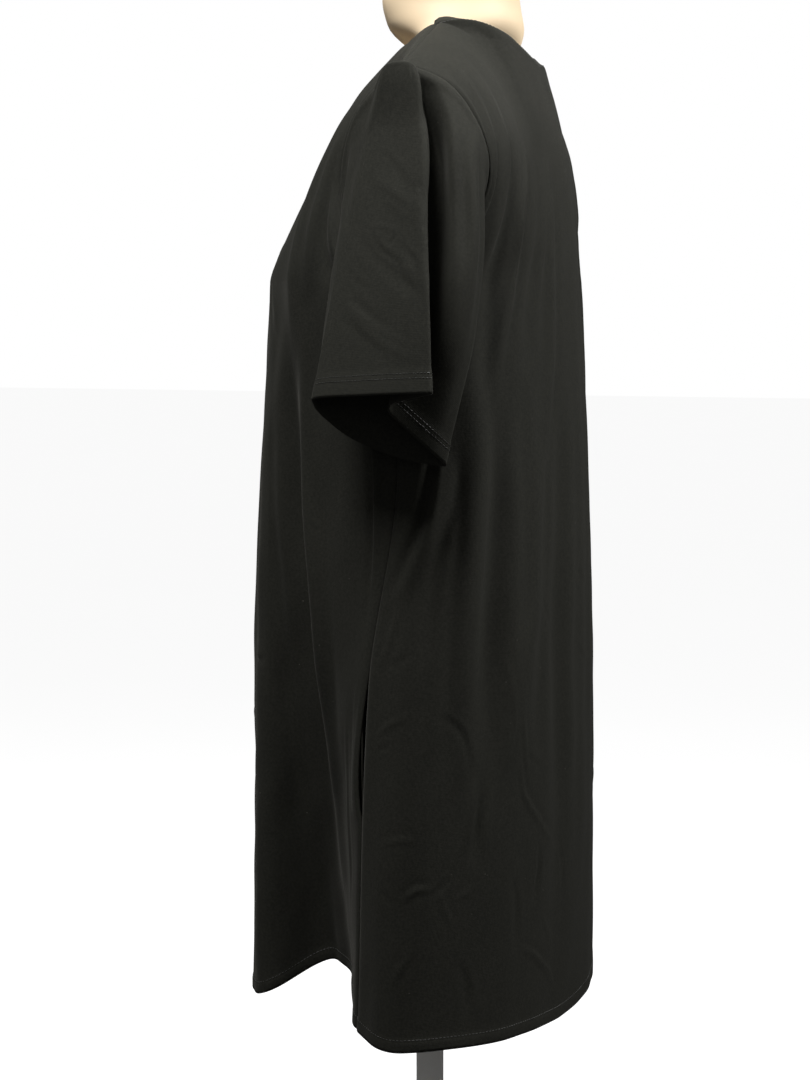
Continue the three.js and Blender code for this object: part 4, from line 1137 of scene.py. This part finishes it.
def stand_material():
    material, tree, shader = new_material("stand_paint", metallic=0, coat_weight=0.15)
    place = node(tree, "ShaderNodeTexCoord", {}, output=3)
    wear = node(tree, "ShaderNodeTexNoise", {}, place, named={"Scale": 18.0, "Detail": 5.0})
    orange = node(tree, "ShaderNodeTexNoise", {}, place, named={"Scale": 420.0, "Detail": 2.0})
    colour = mix_colours(tree, wear, (0.70, 0.685, 0.65, 1), (0.80, 0.79, 0.765, 1))
    tree.links.new(colour.socket, shader.inputs["Base Color"])
    roughness = 0.30 + wear * 0.16
    tree.links.new(roughness.socket, shader.inputs["Roughness"])
    bump = node(tree, "ShaderNodeBump", {}, named={"Strength": 0.08, "Distance": 0.0003, "Height": orange})
    tree.links.new(bump.socket, shader.inputs["Normal"])
    return material


def turned_piece(name, profile):
    """A solid turned about the pole's axis from (radius, height) points, in millimetres above the floor."""
    angles = np.linspace(0, 2 * math.pi, STAND_SIDES, endpoint=False)
    return solid_of_rings(
        name,
        [np.stack((r * np.cos(angles), r * np.sin(angles), np.full(STAND_SIDES, z)), 1) for r, z in profile],
    )


paint = stand_material()
pole_top = HEM_HEIGHT + FORM_RINGS[0][0] - 0.3
stand_pole = turned_piece("stand_tube", [(POLE_RADIUS, BASE_HEIGHT + 0.3), (POLE_RADIUS, pole_top)])
edge_arc = [
    (BASE_RADIUS - BASE_EDGE + BASE_EDGE * math.cos(a), BASE_HEIGHT - BASE_EDGE + BASE_EDGE * math.sin(a))
    for a in np.linspace(0, math.pi / 2, 9)
]
stand_base = turned_piece("stand_plate", [(BASE_RADIUS - 1, 0), (BASE_RADIUS, 1), *edge_arc])
for piece in (stand_pole, stand_base):
    piece.data.materials.append(paint)


# ---- Frame --------------------------------------------------------------------------------------------------
# Every piece rides on the one body and stands for its solid.
for piece, node_name, slot in (
    (panel_pieces["front"], "front_panel", "jersey"),
    (panel_pieces["back"], "back_panel", "jersey"),
    (sleeve_pieces["left"]["piece"], "sleeve_left", "jersey"),
    (sleeve_pieces["right"]["piece"], "sleeve_right", "jersey"),
    (neck_band, "neck_band", "jersey"),
    (pocket_pieces["left"]["piece"], "pocket_bag_left", "jersey"),
    (pocket_pieces["right"]["piece"], "pocket_bag_right", "jersey"),
    (dress_form, "dress_form", "form_skin"),
    (stand_pole, "stand_pole", "stand_paint"),
    (stand_base, "stand_base", "stand_paint"),
):
    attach(piece, "root")
    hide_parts(node_name)
for piece in sewn.values():
    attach(piece, "root")


def cloth_area(rows, closed=False):
    if closed:
        rows = np.concatenate((rows, rows[:, :1]), axis=1)
    diagonal = rows[1:, 1:] - rows[:-1, :-1]
    other = rows[1:, :-1] - rows[:-1, 1:]
    return float(np.linalg.norm(np.cross(diagonal, other), axis=-1).sum()) / 2 * MM * MM


def declare_cloth(rows, closed=False):
    area = cloth_area(rows, closed)


declare_cloth(panel_shapes["front"]["rows"])
declare_cloth(panel_shapes["back"]["rows"])
for side in ("left", "right"):
    made = sleeve_pieces[side]
    declare_cloth(made["rows"], closed=True)
    declare_cloth(pocket_pieces[side]["rows"])
declare_cloth(band_rows, closed=True)


# ---- Floor and light ----------------------------------------------------------------------------------------
# A pale studio floor and soft lamps: the main one high over the left shoulder, and a second one behind.
FLOOR_SIZE = 40.0


def floor_material():
    material, tree, shader = new_material("studio_floor", metallic=0, roughness=0.9, emission_strength=0.9)
    shader.inputs["Emission Color"].default_value = (1, 1, 1, 1)
    place = node(tree, "ShaderNodeTexCoord", {}, output=3)
    clouds = node(tree, "ShaderNodeTexNoise", {}, place, named={"Scale": 2.0, "Detail": 2.0})
    colour = mix_colours(tree, clouds, (0.36, 0.36, 0.36, 1), (0.40, 0.40, 0.40, 1))
    tree.links.new(colour.socket, shader.inputs["Base Color"])
    return material


half = FLOOR_SIZE / 2
floor_mesh = bpy.data.meshes.new("studio_floor")
floor_corners = [(-half, -half, 0), (half, -half, 0), (half, half, 0), (-half, half, 0)]
floor_mesh.from_pydata(floor_corners, [], [(0, 1, 2, 3)])
studio_floor = bpy.data.objects.new("studio_floor", floor_mesh)
bpy.context.scene.collection.objects.link(studio_floor)
floor_mesh.materials.append(floor_material())
# The floor shows white, but throws no light up into the dark folds.
studio_floor.visible_diffuse = False
studio_floor.visible_glossy = False

LAMPS = [
    # name, place, aim, size, spread in degrees, power
    ("overhead", (0.85, -0.32, 2.85), (0.1, 0, 1.4), 0.7, 100, 21),
    ("behind", (-0.1, 1.9, 2.8), (0.05, 0.05, 1.5), 0.7, 80, 19),
    ("side_fill", (2.4, -0.2, 2.3), (0.1, 0, 1.2), 1.2, 110, 1),
    ("far_fill", (-2.6, -0.6, 2.6), (0, 0, 1.0), 1.8, 180, 10),
]
for name, place, aim, size, spread, power in LAMPS:
    lamp_data = bpy.data.lights.new(name, "AREA")
    lamp_data.energy = power
    lamp_data.size = size
    lamp_data.spread = math.radians(spread)
    lamp = bpy.data.objects.new(name, lamp_data)
    lamp.location = place
    lamp.rotation_euler = (Vector(aim) - Vector(place)).to_track_quat("-Z", "Y").to_euler()
    bpy.context.scene.collection.objects.link(lamp)

# The backdrop is seen white, and gives the dress a much softer fill than that.
world = bpy.data.worlds.new("studio")
world.use_nodes = True
sky = world.node_tree
seen = node(sky, "ShaderNodeLightPath", {}, output=0)
strength = seen * 0.88 + 0.12
sky.links.new(strength.socket, sky.nodes["Background"].inputs["Strength"])
sky.nodes["Background"].inputs["Color"].default_value = (1.0, 1.0, 1.0, 1)
bpy.context.scene.world = world
bpy.context.scene.view_settings.view_transform = "Standard"
